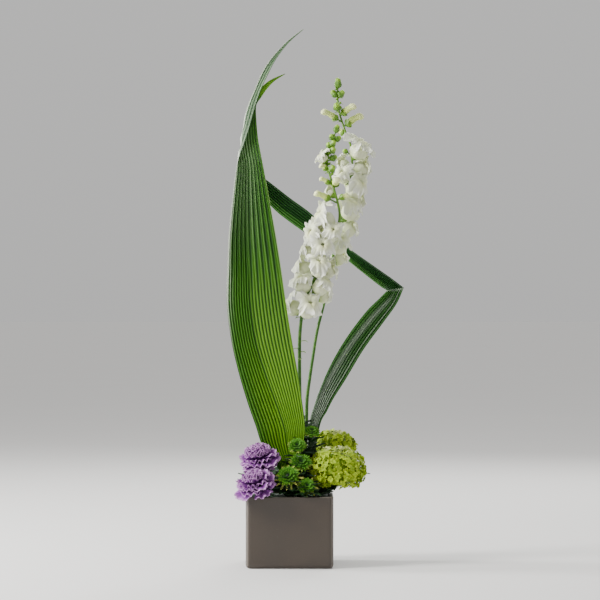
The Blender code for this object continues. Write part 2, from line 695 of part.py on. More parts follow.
def petal_cup(radius, rise, base, petals, ruffle, draw):
    """One layer of ruffled petals as a cup about Z."""
    points_each = len(CARNATION_EDGE)
    count = petals * points_each
    phase = draw.uniform(0, 2 * math.pi)
    rings = []
    for share in (0.5, 1.0):
        ring = []
        for i in range(count):
            turn = 2 * math.pi * i / count + phase
            pinch = 1 + (CARNATION_EDGE[i % points_each] - 1) * share ** 2
            wave = ruffle * share ** 2 * (1 if i % 2 else -1)
            reach = radius * share * pinch
            ring.append(Vector((reach * math.cos(turn), reach * math.sin(turn),
                                base + rise * share ** 1.5 + wave)))
        rings.append(ring)
    points, triangles = polar_cup(rings)
    return thicken(points, triangles, CARNATION_PETAL)


def build_carnation(label, centre, facing, radius, root, calyx, looks, stems):
    """Carnation head of ruffled layers on a core, and its stem with the calyx tube."""
    draw = random.Random(f"{SEED} {label}")
    bodies = [turned(CARNATION_CORE, 8)]
    for share, rise, base, petals, ruffle in CARNATION_LAYERS:
        bodies.append(petal_cup(radius * share, rise, base, petals, ruffle, draw))
    bodies = [shifted(body, centre, facing) for body in bodies]
    head = combined(f"carnation_{label}", bodies, looks["lilac"])
    shade_round(head)
    low = Vector((root[0], root[1], FOAM_TOP))
    base = rooted(root, low, CARNATION_STEM_RADII[0], stems)
    tail = Vector(centre) - Vector(facing).normalized() * (CALYX_DROP + calyx * CALYX_OVERLAP)
    bend = low.lerp(tail, STEM_BEND) + Vector((0, 0, STEM_BEND_LIFT))
    profile = [(r, -CALYX_DROP - share * calyx) for r, share in CARNATION_CALYX]
    stem = combined(f"carnation_{label}_stem",
                    [tube([base, low, bend, tail], CARNATION_STEM_RADII, 7),
                     shifted(turned(profile, 9), centre, facing)], looks["stem"])
    shade_round(stem)


def sepal_floret(spot, way, draw):
    """Four-sepalled floret that spreads across the way and narrows to a root along it."""
    side, up, forward = axes_for(way, Vector((0, 1, 0)))
    turn = draw.uniform(0, math.pi / 2)
    size = SEPAL_REACH * draw.uniform(0.9, 1.08)
    tilt = Vector((draw.uniform(-SEPAL_TILT, SEPAL_TILT), draw.uniform(-SEPAL_TILT, SEPAL_TILT)))
    rim = []
    for i in range(12):
        angle = turn + i * math.pi / 6
        notch = i % 3 == 0
        flat = Vector((math.cos(angle), math.sin(angle))) * size * (SEPAL_NOTCH if notch else 1.0)
        height = (NOTCH_CURVE if notch else SEPAL_CURVE) + tilt.dot(flat)
        rim.append(spot + side * flat.x + up * flat.y + forward * height)
    points = [spot - forward * SEPAL_CURVE, spot - forward * (SEPAL_STAND + SEPAL_ROOT)] + rim
    triangles = []
    for i in range(12):
        following = (i + 1) % 12
        triangles += [(0, 2 + i, 2 + following), (1, 2 + following, 2 + i)]
    return points, triangles


def build_hydrangea(label, centre, half, count, route, looks, stems):
    """Round head of four-sepalled florets on a smaller core, and its green stem with a leaf."""
    draw = random.Random(f"{SEED} {label}")
    middle = Vector(centre)
    core_rings = []
    for i in range(1, CORE_ROWS):
        polar = math.pi * i / CORE_ROWS
        core_rings.append([middle + Vector((p.x * half[0], p.y * half[1], -half[2] * math.cos(polar)))
                           for p in circle(math.sin(polar), 0, CORE_SIDES)])
    bodies = [loft(core_rings)]
    golden = math.pi * (3 - math.sqrt(5))
    for i in range(count):
        height = 1 - 2 * SEPAL_COVER * (i + 0.5) / count
        around = math.sqrt(1 - height * height)
        turn = golden * i + draw.uniform(-0.12, 0.12)
        unit = Vector((around * math.cos(turn), around * math.sin(turn), height))
        on_core = Vector((unit.x * half[0], unit.y * half[1], unit.z * half[2]))
        way = Vector((unit.x / half[0], unit.y / half[1], unit.z / half[2])).normalized()
        bodies.append(sepal_floret(middle + on_core + way * (SEPAL_STAND + draw.uniform(-1, 1)), way, draw))
    head = combined(f"hydrangea_{label}", bodies, looks["lime"])
    shade_round(head)
    base = rooted(route[0], route[0], HYDRANGEA_STEM_RADII[0], stems)
    tail = middle + Vector((SEAT_OFFSET[label], 0, -half[2] * math.cos(math.pi / CORE_ROWS) - GAP))
    stem_bodies = [tube([base] + [Vector(p) for p in route] + [tail], HYDRANGEA_STEM_RADII, 7)]
    for start, direction, length, width, droop in HYDRANGEA_LEAVES[label]:
        stem_bodies.append(ovate_leaf(start, direction, length, width, droop))
    stem = combined(f"hydrangea_{label}_stem", stem_bodies, looks["dark"])
    shade_round(stem)


def ovate_leaf(start, direction, length, width, droop):
    """Toothed leaf whose sides rise from the rib, from its stalk outward."""
    side, up, forward = axes_for(direction)
    origin = Vector(start)
    points = []
    for row in range(OVATE_ROWS + 1):
        share = row / OVATE_ROWS
        outline = math.sin(math.pi * share ** OVATE_FULLNESS) + OVATE_NECK
        half = 0.5 * width * outline * (1.0 if row % 2 else OVATE_TOOTH)
        for across in (-1, 0, 1):
            lift = OVATE_FOLD * half * abs(across) - droop * share * share
            points.append(origin + forward * length * share + side * half * across + up * lift)
    return thicken(points, grid_triangles(OVATE_ROWS, 2), BLADE)


def build_cover_sprig(label, root, height, leaves, looks, stems):
    """Short sprig of dark leaves that hides the foam."""
    low = Vector((root[0], root[1], FOAM_TOP))
    base = rooted(root, low, COVER_STEM_RADII[0], stems)
    top = low + Vector((0, 0, height))
    bodies = [tube([base, low, top], COVER_STEM_RADII, STEM_SIDES)]
    for i, (direction, length, width) in enumerate(leaves):
        start = low.lerp(top, (i + COVER_FIRST) / len(leaves))
        bodies.append(ovate_leaf(start, direction, length, width, COVER_DROOP * length))
    sprig = combined(f"cover_leaves_{label}", bodies, looks["dark"])
    shade_round(sprig)


def spiked_layer(radius, rise, count):
    """Layer of pointed ray petals about Z, closed toward a root below."""
    points = [Vector((0, 0, rise + BUTTON_CROWN * radius)), Vector((0, 0, rise - BUTTON_ROOT * radius))]
    for i in range(2 * count):
        turn = math.pi * i / count
        reach, height = (1.0, RAY_TIP_RISE) if i % 2 else (RAY_NOTCH, RAY_NOTCH_RISE)
        points.append(Vector((reach * radius * math.cos(turn), reach * radius * math.sin(turn),
                              rise + height * radius)))
    triangles = []
    for i in range(2 * count):
        following = (i + 1) % (2 * count)
        triangles += [(0, 2 + i, 2 + following), (1, 2 + following, 2 + i)]
    return points, triangles


def build_button(label, centre, facing, radius, root, looks, stems):
    """Button chrysanthemum of pointed layers with its leafy stem."""
    bodies = []
    for share, rise, count in BUTTON_LAYERS:
        bodies.append(shifted(spiked_layer(radius * share, radius * rise, count), centre, facing))
    low = Vector((root[0], root[1], FOAM_TOP))
    base = rooted(root, low, BUTTON_STEM_RADII[0], stems)
    tail = Vector(centre) - Vector(facing).normalized() * radius * BUTTON_NECK
    bend = low.lerp(tail, STEM_BEND) + Vector((0, 0, BUTTON_BEND_LIFT))
    bodies.append(tube([base, low, bend, tail], BUTTON_STEM_RADII, STEM_SIDES))
    for direction, length, width in BUTTON_LEAVES[label]:
        start = low.lerp(bend, BUTTON_LEAF_HEIGHT)
        bodies.append(ovate_leaf(start, direction, length, width, BUTTON_DROOP * length))
    head = combined(f"chrysanthemum_{label}", bodies, looks["button"])
    shade_round(head)


def main():
    """Build the arrangement."""
    clear_scene()
    looks = {"clay": plain_material("vase_ceramic", CLAY, 0.42),
             "foam": plain_material("wet_foam", FOAM_GREEN, 0.95),
             "tall": plain_material("tall_leaf", TALL_GREEN, 0.4),
             "dark": plain_material("dark_leaf", DARK_GREEN, 0.4),
             "stem": plain_material("stem", STEM_GREEN, 0.5),
             "white": plain_material("white_petal", WHITE, 0.6),
             "cream": plain_material("cream_bud", CREAM, 0.6),
             "lilac": plain_material("lilac_petal", LILAC, 0.6),
             "lime": plain_material("lime_sepal", LIME, 0.6),
             "button": plain_material("button_petal", BUTTON_GREEN, 0.6)}
    stems = []
    build_vase(looks["clay"])
    build_tall_leaf(looks["tall"], stems)
    build_folded_leaf(looks["dark"], stems)
    build_snapdragon("snapdragon_front", FRONT_STEM, FRONT_STEM_RADII, (15, 2), FRONT_FLORETS,
                     FRONT_CREAM_BUDS, FRONT_GREEN_BUDS, looks, stems)
    build_snapdragon("snapdragon_back", BACK_STEM, BACK_STEM_RADII, (18, 16), BACK_FLORETS,
                     BACK_CREAM_BUDS, BACK_GREEN_BUDS, looks, stems)
    for label, (centre, facing, radius, root, calyx) in CARNATIONS.items():
        build_carnation(label, centre, facing, radius, root, calyx, looks, stems)
    for label, (centre, half, count, route) in HYDRANGEAS.items():
        build_hydrangea(label, centre, half, count, route, looks, stems)
    for label, (centre, facing, radius, root) in BUTTONS.items():
        build_button(label, centre, facing, radius, root, looks, stems)
    for label, (root, height, leaves) in COVER_SPRIGS.items():
        build_cover_sprig(label, root, height, leaves, looks, stems)
    build_foam(looks["foam"], stems)


main()
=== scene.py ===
"""Looks of a flower arrangement in a square ceramic vase.

Leaves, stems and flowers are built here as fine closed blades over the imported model, and the
vase and the foam are the model's own nodes with a finish. Lengths are in millimetres until a
mesh is made. The origin is at the centre of the underside of the vase, with +Z up and the
front at -Y.
"""

import logging
import math
from dataclasses import dataclass
from enum import Enum
from typing import Sequence, Union

import bpy
import numpy as np
from mathutils import Matrix


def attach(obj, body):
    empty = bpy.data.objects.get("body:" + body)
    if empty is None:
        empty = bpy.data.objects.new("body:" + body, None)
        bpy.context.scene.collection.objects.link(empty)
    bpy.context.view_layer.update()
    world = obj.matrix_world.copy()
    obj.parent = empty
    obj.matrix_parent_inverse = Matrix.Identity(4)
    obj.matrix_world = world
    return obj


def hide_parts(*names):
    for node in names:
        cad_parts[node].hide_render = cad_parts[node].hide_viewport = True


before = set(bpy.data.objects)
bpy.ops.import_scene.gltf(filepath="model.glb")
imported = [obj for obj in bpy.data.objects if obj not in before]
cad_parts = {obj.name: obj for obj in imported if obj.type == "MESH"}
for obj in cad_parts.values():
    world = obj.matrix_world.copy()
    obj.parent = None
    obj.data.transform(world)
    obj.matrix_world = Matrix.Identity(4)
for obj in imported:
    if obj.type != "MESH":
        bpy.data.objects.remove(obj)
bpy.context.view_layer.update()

MM = 0.001
SEED = 4
PETAL_THICKNESS = 0.35
LEAF_THICKNESS = 0.6
SHARP_ANGLE = 1.0
FOAM_TOP = 98.0
ROOT_DEPTH = 38.0
CURVE_STEPS = 8
PROFILE_STEPS = 3
FULL_TURN = 2 * math.pi
GOLDEN_ANGLE = math.pi * (3 - math.sqrt(5))

log = logging.getLogger("arrangement")

Array = np.ndarray
Triple = Sequence[float]
Colour = tuple[float, float, float]
Pair = tuple[Triple, Triple]
Material = bpy.types.Material
Socket = bpy.types.NodeSocket
Kept = Union[float, Array]


class Outline(Enum):
    """Plan shapes of petals and leaves, from root to tip."""

    FAN = "widens to a broad frilled end"
    ROUND = "widest past the middle and rounded at the end"
    STRAP = "even width with a blunt point"
    OVATE = "widest before the middle and pointed"


def unit(vector: Array) -> Array:
    """Vectors scaled to length one along the last axis."""
    return vector / np.maximum(np.linalg.norm(vector, axis=-1, keepdims=True), 1e-9)


def smoothstep(low: float, high: float, value: Kept) -> Array:
    """Zero below low, one above high and a smooth ramp between."""
    share = np.clip((value - low) / (high - low), 0.0, 1.0)
    return share * share * (3 - 2 * share)


def smooth(rows: Array, steps: int) -> Array:
    """Catmull-Rom curve through rows of values.

    Args:
        rows: Values of any shape, one row for each point that the curve passes.
        steps: Rows made for each stretch between two points.

    Returns:
        The denser rows, with the given first and last one.
    """
    rows = np.asarray(rows, float)
    ends = np.concatenate([[2 * rows[0] - rows[1]], rows, [2 * rows[-1] - rows[-2]]])
    made = []
    for before, start, end, after in zip(ends, ends[1:], ends[2:], ends[3:]):
        for t in np.arange(steps) / steps:
            made.append(0.5 * (2 * start + (end - before) * t
                               + (2 * before - 5 * start + 4 * end - after) * t * t
                               + (3 * start - before - 3 * end + after) * t ** 3))
    made.append(rows[-1])
    return np.array(made)


def axes_for(direction: Triple, upright: Triple = (0, 0, 1)) -> Array:
    """Side, up and forward axes as rows, with forward along the direction.

    Args:
        direction: Where the forward axis points.
        upright: Where the up axis leans to.

    Returns:
        The three axes.
    """
    forward = unit(np.asarray(direction, float))
    side = np.cross(np.asarray(upright, float), forward)
    if np.linalg.norm(side) < 0.05:
        side = np.cross((0.0, 1.0, 0.0), forward)
    side = unit(side)
    return np.array([side, np.cross(forward, side), forward])


def placed(points: Array, origin: Triple, direction: Triple, upright: Triple = (0, 0, 1)) -> Array:
    """Points with local Z turned along the direction and moved to the origin."""
    return np.asarray(origin, float) + points @ axes_for(direction, upright)


def turned_about_z(points: Array, angle: float) -> Array:
    """Points turned about Z by an angle in radians."""
    c, s = math.cos(angle), math.sin(angle)
    return points @ np.array([[c, s, 0], [-s, c, 0], [0, 0, 1]])


def turns(sides: int) -> Array:
    """Angles of the points of a ring, in radians."""
    return np.arange(sides) * FULL_TURN / sides


def wave_of(count: Array) -> Array:
    """Height of pleats between 0 and 1 at a count of them: each one rises to its middle."""
    return 1 - np.abs(count % 1.0 - 0.5) * 2


def foot_of(root: tuple[float, float]) -> Array:
    """Point of a stem at the top of the foam."""
    return np.array([*root, FOAM_TOP])


def chance(*key: int) -> np.random.Generator:
    """Source of chance that one piece has to itself, the same in each run."""
    return np.random.default_rng([SEED, *key])


def grid_faces(rows: int, columns: int, closed: bool = False) -> Array:
    """Quads of a grid of points numbered row by row.

    Args:
        rows: Rows of points.
        columns: Points in a row.
        closed: Whether the last column joins the first.

    Returns:
        Four point numbers for each quad.
    """
    spans = columns if closed else columns - 1
    row, column = np.meshgrid(np.arange(rows - 1), np.arange(spans), indexing="ij")
    following = (column + 1) % columns
    a, b = row * columns + column, row * columns + following
    return np.stack([a, b, b + columns, a + columns], -1).reshape(-1, 4)


def sheet_normals(points: Array, faces: Array) -> Array:
    """Normal at each point of a surface of quads.

    Args:
        points: One row for each point.
        faces: Its quads.

    Returns:
        One row for each point.
    """
    across = np.cross(points[faces[:, 2]] - points[faces[:, 0]], points[faces[:, 3]] - points[faces[:, 1]])
    normals = np.zeros_like(points)
    for corner in range(4):
        np.add.at(normals, faces[:, corner], across)
    return unit(normals)


def grid_normals(grid: Array) -> Array:
    """Normal at each point of a grid of points."""
    return unit(np.cross(np.gradient(grid, axis=1), np.gradient(grid, axis=0)))


class Shape:
    """Growing mesh of one piece, in millimetres, with named values at its points."""

    def __init__(self) -> None:
        """Start with no points."""
        self.points: list[Array] = []
        self.faces: list[Array] = []
        self.slots: list[Array] = []
        self.values: list[tuple[int, int, dict[str, Kept]]] = []
        self.count = 0

    def add(self, points: Array, faces: Sequence[Array], slot: int = 0,
            **values: Kept) -> None:
        """Take in one more part.

        Args:
            points: One row for each point.
            faces: Arrays of point numbers, each array with faces of one size.
            slot: Which of the piece's finishes the part has.
            **values: Numbers kept at its points for the finish to read.
        """
        points = np.asarray(points, float).reshape(-1, 3)
        for group in faces:
            group = np.asarray(group, int)
            self.faces.append(group + self.count)
            self.slots.append(np.full(len(group), slot))
        self.values.append((self.count, len(points), values))
        self.points.append(points)
        self.count += len(points)

    def sheet(self, points: Array, faces: Array, thickness: float, slot: int = 0,
              **values: Kept) -> None:
        """Take in an open surface of quads as a closed thin blade.

        Args:
            points: One row for each point of the surface.
            faces: Its quads.
            thickness: How thick the blade is.
            slot: Which of the piece's finishes it has.
            **values: Numbers kept at its points, the same on both faces.
        """
        points = np.asarray(points, float).reshape(-1, 3)
        count = len(points)
        half = sheet_normals(points, faces) * thickness / 2
        start, end = faces, np.roll(faces, -1, axis=1)
        forward = (start * count + end).ravel()
        backward = (end * count + start).ravel()
        open_edge = ~np.isin(forward, backward)
        a, b = start.ravel()[open_edge], end.ravel()[open_edge]
        rim = np.stack([b, a, a + count, b + count], -1)
        both = {name: np.tile(np.ravel(value), 2) if np.ndim(value) else value
                for name, value in values.items()}
        self.add(np.concatenate([points + half, points - half]),
                 [faces, faces[:, ::-1] + count, rim], slot, **both)

    def blade(self, grid: Array, thickness: float, slot: int = 0, **values: Kept) -> None:
        """Take in a grid of points as a closed thin blade, its values given by point."""
        rows, columns = grid.shape[:2]
        self.sheet(grid, grid_faces(rows, columns), thickness, slot, **values)

    def loft(self, rings: Array, slot: int = 0, **values: Kept) -> None:
        """Take in a closed body through rings of points, with both ends capped.

        Args:
            rings: Rings by points by coordinates, counterclockwise about the way they advance.
            slot: Which of the piece's finishes it has.
            **values: Numbers kept at its points, one for each ring or one for all.
        """
        rings = np.asarray(rings, float)
        rows, columns = rings.shape[:2]
        points = np.concatenate([rings.reshape(-1, 3), [rings[0].mean(0)], [rings[-1].mean(0)]])
        around = np.arange(columns)
        following = (around + 1) % columns
        first, last, top = rows * columns, rows * columns + 1, (rows - 1) * columns
        caps = np.concatenate([np.stack([np.full(columns, first), following, around], -1),
                               np.stack([np.full(columns, last), top + around, top + following], -1)])
        spread = {}
        for name, value in values.items():
            if np.ndim(value):
                value = np.repeat(np.asarray(value, float), columns)
                value = np.concatenate([value, [value[0], value[-1]]])
            spread[name] = value
        self.add(points, [grid_faces(rows, columns, closed=True), caps], slot, **spread)

    def tube(self, points: Sequence[Triple], radii: tuple[float, float], sides: int, slot: int = 0,
             steps: int = CURVE_STEPS, **values: Kept) -> None:
        """Take in a stem on a smooth curve through points, its radius given at both ends."""
        route = smooth(np.array(points, float), steps)
        self.loft(rings_along(route, np.linspace(*radii, len(route)), sides), slot, **values)

    def turned(self, profile: Sequence[Sequence[float]], sides: int, spot: Triple, facing: Triple,
               slot: int = 0, **values: Kept) -> None:
        """Take in a body turned from pairs of radius and height, its axis from a spot along a way."""
        self.loft(placed(turned_rings(profile, sides), spot, facing), slot, **values)

    def petal(self, grid: Array, turn: float, spot: Triple, facing: Triple,
              upright: Triple = (0, 0, 1), **values: Kept) -> None:
        """Take in a petal, turned about the axis of its flower, which starts at a spot."""
        points = placed(turned_about_z(grid.reshape(-1, 3), turn), spot, facing, upright)
        self.blade(points.reshape(grid.shape), PETAL_THICKNESS, **values)

    def piece(self, name: str, finishes: Sequence["Finish"]) -> bpy.types.Object:
        """Make the object.

        Args:
            name: The piece's name.
            finishes: Its finishes, one for each slot used.

        Returns:
            The new object, in the scene.
        """
        mesh = bpy.data.meshes.new(name)
        points = np.concatenate(self.points) * MM
        sizes = np.concatenate([np.full(len(group), group.shape[1]) for group in self.faces])
        corners = np.concatenate([group.ravel() for group in self.faces])
        mesh.vertices.add(len(points))
        mesh.vertices.foreach_set("co", points.ravel())
        mesh.loops.add(len(corners))
        mesh.loops.foreach_set("vertex_index", corners)
        mesh.polygons.add(len(sizes))
        mesh.polygons.foreach_set("loop_start", np.concatenate([[0], np.cumsum(sizes)[:-1]]))
        mesh.polygons.foreach_set("material_index", np.concatenate(self.slots))
        for label in sorted({label for _, _, values in self.values for label in values}):
            data = np.zeros(len(points))
            for start, count, values in self.values:
                data[start:start + count] = np.ravel(values.get(label, 0.0))
            mesh.attributes.new(label, "FLOAT", "POINT").data.foreach_set("value", data)
        for finish in finishes:
            mesh.materials.append(finish.material())
        mesh.update(calc_edges=True)
        mesh.validate()
        mesh.shade_smooth()
        mesh.set_sharp_from_angle(angle=SHARP_ANGLE)
        made = bpy.data.objects.new(name, mesh)
        bpy.context.scene.collection.objects.link(made)
        return made

    def stand_for(self, node: str, name: str, slot: str, *finishes: "Finish") -> None:
        """Make the object, put it in the place of a node and report it.

        Args:
            node: The node that it stands for.
            name: The piece's name.
            slot: Not used.
            *finishes: Its finishes, one for each slot used.
        """
        piece = self.piece(name, finishes)
        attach(piece, "root")
        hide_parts(node)
        triangles = sum(len(group) * (group.shape[1] - 2) for group in self.faces)
        log.info("%s: %d triangles", name, triangles)


def rings_along(route: Array, radii: Array, sides: int) -> Array:
    """Rings of points about a route.

    Args:
        route: Points of the middle line.
        radii: Radius at each of them.
        sides: Points in a ring.

    Returns:
        Rings by points by coordinates, for a loft.
    """
    along = unit(np.gradient(route, axis=0))
    side = unit(np.cross(along[0], (0.3, 0.9, 0.1)))
    turn = turns(sides)
    rings = []
    for centre, way, radius in zip(route, along, radii):
        side = unit(side - way * side.dot(way))
        across = np.cross(way, side)
        rings.append(centre + radius * (np.outer(np.cos(turn), side) + np.outer(np.sin(turn), across)))
    return np.array(rings)


def turned_rings(profile: Sequence[Sequence[float]], sides: int, lobes: Kept = 1.0) -> Array:
    """Rings about Z from pairs of radius and height, the radius scaled by the lobes around.

    Args:
        profile: Pairs of radius and height.
        sides: Points in a ring.
        lobes: Scale of the radius, for each point of a ring or for all.

    Returns:
        Rings by points by coordinates, for a loft.
    """
    turn = turns(sides)
    profile = np.asarray(profile, float)
    radius = profile[:, :1] * np.broadcast_to(lobes, (sides,))
    return np.stack([radius * np.cos(turn), radius * np.sin(turn),
                     np.broadcast_to(profile[:, 1:], radius.shape)], -1)


def profile_of(*pairs: tuple[float, float]) -> Array:
    """Smooth profile of a turned body through pairs of radius and height."""
    return smooth(np.array(pairs), PROFILE_STEPS)


@dataclass(frozen=True)
class Petal:
    """Thin petal, sepal or leaf that starts at the origin, grows along +X and faces +Z.

    The angles are the rise of its middle line at the root and at the tip, in degrees.
    """

    length: float
    width: float
    outline: Outline
    rise_root: float = 0.0
    rise_tip: float = 0.0
    neck: float = 0.15
    cup: float = 0.0
    ruffle: float = 0.0
    waves: float = 2.0
    teeth: int = 0
    tooth_depth: float = 0.0
    blunt: float = 0.16

    def half_width(self, share: Array) -> Array:
        """Half of the width at shares of the length.

        Args:
            share: Shares of the length.

        Returns:
            The half width at each of them.
        """
        if self.outline is Outline.FAN:
            form = self.neck + (1 - self.neck) * smoothstep(0.0, 1.05, share) ** 0.8
        elif self.outline is Outline.ROUND:
            form = np.maximum(self.neck * (1 - share), np.sin(math.pi * share ** 1.25) ** 0.62)
        elif self.outline is Outline.STRAP:
            form = (self.neck + (1 - self.neck) * smoothstep(0.0, 0.5, share)) * (1 - share ** 5) ** 0.6
        else:
            form = np.maximum(np.sin(math.pi * share ** 0.8) + self.neck * (1 - share), 0.02)
        return 0.5 * self.width * form

    def grid(self, rows: int, columns: int, phase: float = 0.0) -> tuple[Array, Array, Array]:
        """Points of its surface.

        Args:
            rows: Points from root to tip.
            columns: Points from edge to edge.
            phase: Where its ruffles start, in radians.

        Returns:
            The grid of points, and the shares along and across it, across from -1 to 1.
        """
        share = np.linspace(0.0, 1.0, rows)
        across = np.linspace(-1.0, 1.0, columns)
        rise = np.radians(self.rise_root + (self.rise_tip - self.rise_root) * share)
        step = self.length / (rows - 1)
        reach = np.concatenate([[0], np.cumsum(np.cos(rise[:-1]) * step)])
        height = np.concatenate([[0], np.cumsum(np.sin(rise[:-1]) * step)])
        half = self.half_width(share)[:, None]
        t, v = np.meshgrid(share, across, indexing="ij")
        back = self.blunt * self.length * v * v * t ** 3 if self.outline is Outline.FAN else 0.0
        if self.teeth:
            back = back + self.tooth_depth * np.abs((v * self.teeth) % 1.0 - 0.5) * 2 * t ** 4
        lift = self.cup * np.abs(v) ** 1.7 * half
        lift = lift + self.ruffle * t ** 2 * np.sin(math.pi * self.waves * v + phase + 1.3 * t)
        x = reach[:, None] - np.cos(rise)[:, None] * back - np.sin(rise)[:, None] * lift
        z = height[:, None] - np.sin(rise)[:, None] * back + np.cos(rise)[:, None] * lift
        return np.stack([x, v * half, z], -1), t, v


Number = Union["Signal", float]
Value = Union["Signal", Socket, float, Sequence[float]]


class Signal:
    """Socket of a value, whose arithmetic adds Math nodes."""

    def __init__(self, paint: "Paint", socket: Socket) -> None:
        """Hold the socket and the tree it is in."""
        self.paint = paint
        self.socket = socket

    def math(self, operation: str, *values: Number) -> "Signal":
        """Result of a Math node on this value and others."""
        return self.paint.math(operation, self, *values)

    def __add__(self, other: Number) -> "Signal":
        """Sum."""
        return self.math("ADD", other)

    def __mul__(self, other: Number) -> "Signal":
        """Product."""
        return self.math("MULTIPLY", other)

    def __sub__(self, other: Number) -> "Signal":
        """Difference."""
        return self.math("SUBTRACT", other)

    def __rsub__(self, other: float) -> "Signal":
        """Difference from a number."""
        return self.paint.math("SUBTRACT", other, self)

    __radd__ = __add__
    __rmul__ = __mul__

    def between(self, low: float, high: float) -> "Signal":
        """Zero below low, one above high and a smooth ramp between.

        Args:
            low: Where the ramp starts.
            high: Where it ends.

        Returns:
            The ramp.
        """
        node = self.paint.node("ShaderNodeMapRange", {"interpolation_type": "SMOOTHSTEP"},
                               {"Value": self, "From Min": low, "From Max": high})
        return Signal(self.paint, node.outputs["Result"])

    def folds(self) -> "Signal":
        """Ridges between 0 and 1, one for each whole number."""
        return self.math("PINGPONG", 0.5) * 2.0


class Paint:
    """Nodes of one material or of the surroundings."""

    def __init__(self, owner: Union[Material, bpy.types.World]) -> None:
        """Take the owner of the nodes and empty its tree.

        Args:
            owner: The material or the surroundings.
        """
        owner.use_nodes = True
        self.owner = owner
        self.tree = owner.node_tree
        self.tree.nodes.clear()

    def node(self, kind: str, settings: dict[str, object], inputs: dict[Union[str, int], Value]
             ) -> bpy.types.Node:
        """Add a node.

        Args:
            kind: The node's type.
            settings: Its own properties, set first.
            inputs: Values or links of its sockets, by name or number.

        Returns:
            The new node.
        """
        made = self.tree.nodes.new(kind)
        for name, setting in settings.items():
            setattr(made, name, setting)
        for name, value in inputs.items():
            self.feed(made.inputs[name], value)
        return made

    def feed(self, socket: Socket, value: Value) -> None:
        """Link a socket to a value, or set it. A colour set here is opaque.

        Args:
            socket: The input.
            value: What it gets.
        """
        value = value.socket if isinstance(value, Signal) else value
        if isinstance(value, Socket):
            self.tree.links.new(value, socket)
        elif isinstance(value, (int, float)):
            socket.default_value = value
        else:
            opaque = len(socket.default_value) == 4 and len(value) == 3
            socket.default_value = (*value, 1.0) if opaque else tuple(value)

    def math(self, operation: str, *values: Value) -> Signal:
        """Result of a Math node on one or more values."""
        node = self.node("ShaderNodeMath", {"operation": operation}, dict(enumerate(values)))
        return Signal(self, node.outputs[0])

    def kept(self, *names: str) -> list[Signal]:
        """Numbers that the mesh keeps at its points under some names.

        Args:
            *names: The names.

        Returns:
            One value for each name.
        """
        nodes = [self.node("ShaderNodeAttribute", {"attribute_type": "GEOMETRY", "attribute_name": name}, {})
                 for name in names]
        return [Signal(self, node.outputs["Fac"]) for node in nodes]

    def place(self, output: str = "Object") -> Socket:
        """Position on the object, in metres, or another output of the coordinates."""
        return self.node("ShaderNodeTexCoord", {}, {}).outputs[output]

    def parts(self, vector: Socket) -> list[Signal]:
        """X, Y and Z of a vector."""
        node = self.node("ShaderNodeSeparateXYZ", {}, {0: vector})
        return [Signal(self, output) for output in node.outputs]

    def noise(self, scale: float, detail: float, stretch: Triple = ()) -> Signal:
        """Cloudy pattern between 0 and 1.

        Args:
            scale: Its repeats for each metre.
            detail: How many finer layers it has.
            stretch: Further scale along each axis, if any.

        Returns:
            The pattern.
        """
        vector = self.place()
        if stretch:
            node = self.node("ShaderNodeMapping", {}, {"Vector": vector, "Scale": stretch})
            vector = node.outputs["Vector"]
        node = self.node("ShaderNodeTexNoise", {}, {"Vector": vector, "Scale": scale, "Detail": detail})
        return Signal(self, node.outputs["Fac"])

    def mix(self, share: Value, low: Value, high: Value) -> Socket:
        """Colour between two colours."""
        node = self.node("ShaderNodeMix", {"data_type": "RGBA"}, {0: share, 6: low, 7: high})
        return node.outputs[2]

    def finish(self, base: Value, roughness: Value, settings: dict[str, float],
               relief: tuple[Signal, float, float] | None = None, glow: Colour | None = None,
               glow_share: float = 0.0) -> Material:
        """End the tree in a Principled shader.

        Args:
            base: Its colour.
            roughness: Its roughness.
            settings: Fixed numbers of its other sockets.
            relief: Height pattern that bends the normal, its depth in millimetres and its strength.
            glow: Colour of the light that passes through, or None for an opaque finish.
            glow_share: How much light passes through.

        Returns:
            The material.
        """
        inputs = {"Base Color": base, "Roughness": roughness, **settings}
        if relief is not None:
            height, depth, strength = relief
            bump = self.node("ShaderNodeBump", {}, {"Height": height, "Distance": depth * MM,
                                                    "Strength": strength})
            inputs["Normal"] = bump.outputs["Normal"]
        surface = self.node("ShaderNodeBsdfPrincipled", {}, inputs).outputs[0]
        if glow is not None:
            through = self.node("ShaderNodeBsdfTranslucent", {}, {"Color": glow}).outputs[0]
            mixed = self.node("ShaderNodeMixShader", {}, {0: glow_share, 1: surface, 2: through})
            surface = mixed.outputs[0]
        self.node("ShaderNodeOutputMaterial", {}, {"Surface": surface})
        return self.owner


@dataclass(frozen=True)
class Finish:
    """Named finish, which each kind of surface mixes in its own way."""

    name: str

    def mixed(self, paint: Paint) -> Material:
        """Mix the finish on an empty tree of nodes."""
        raise NotImplementedError

    def material(self) -> Material:
        """Its material, made the first time that it is asked for."""
        made = bpy.data.materials.get(self.name)
        return made or self.mixed(Paint(bpy.data.materials.new(self.name)))


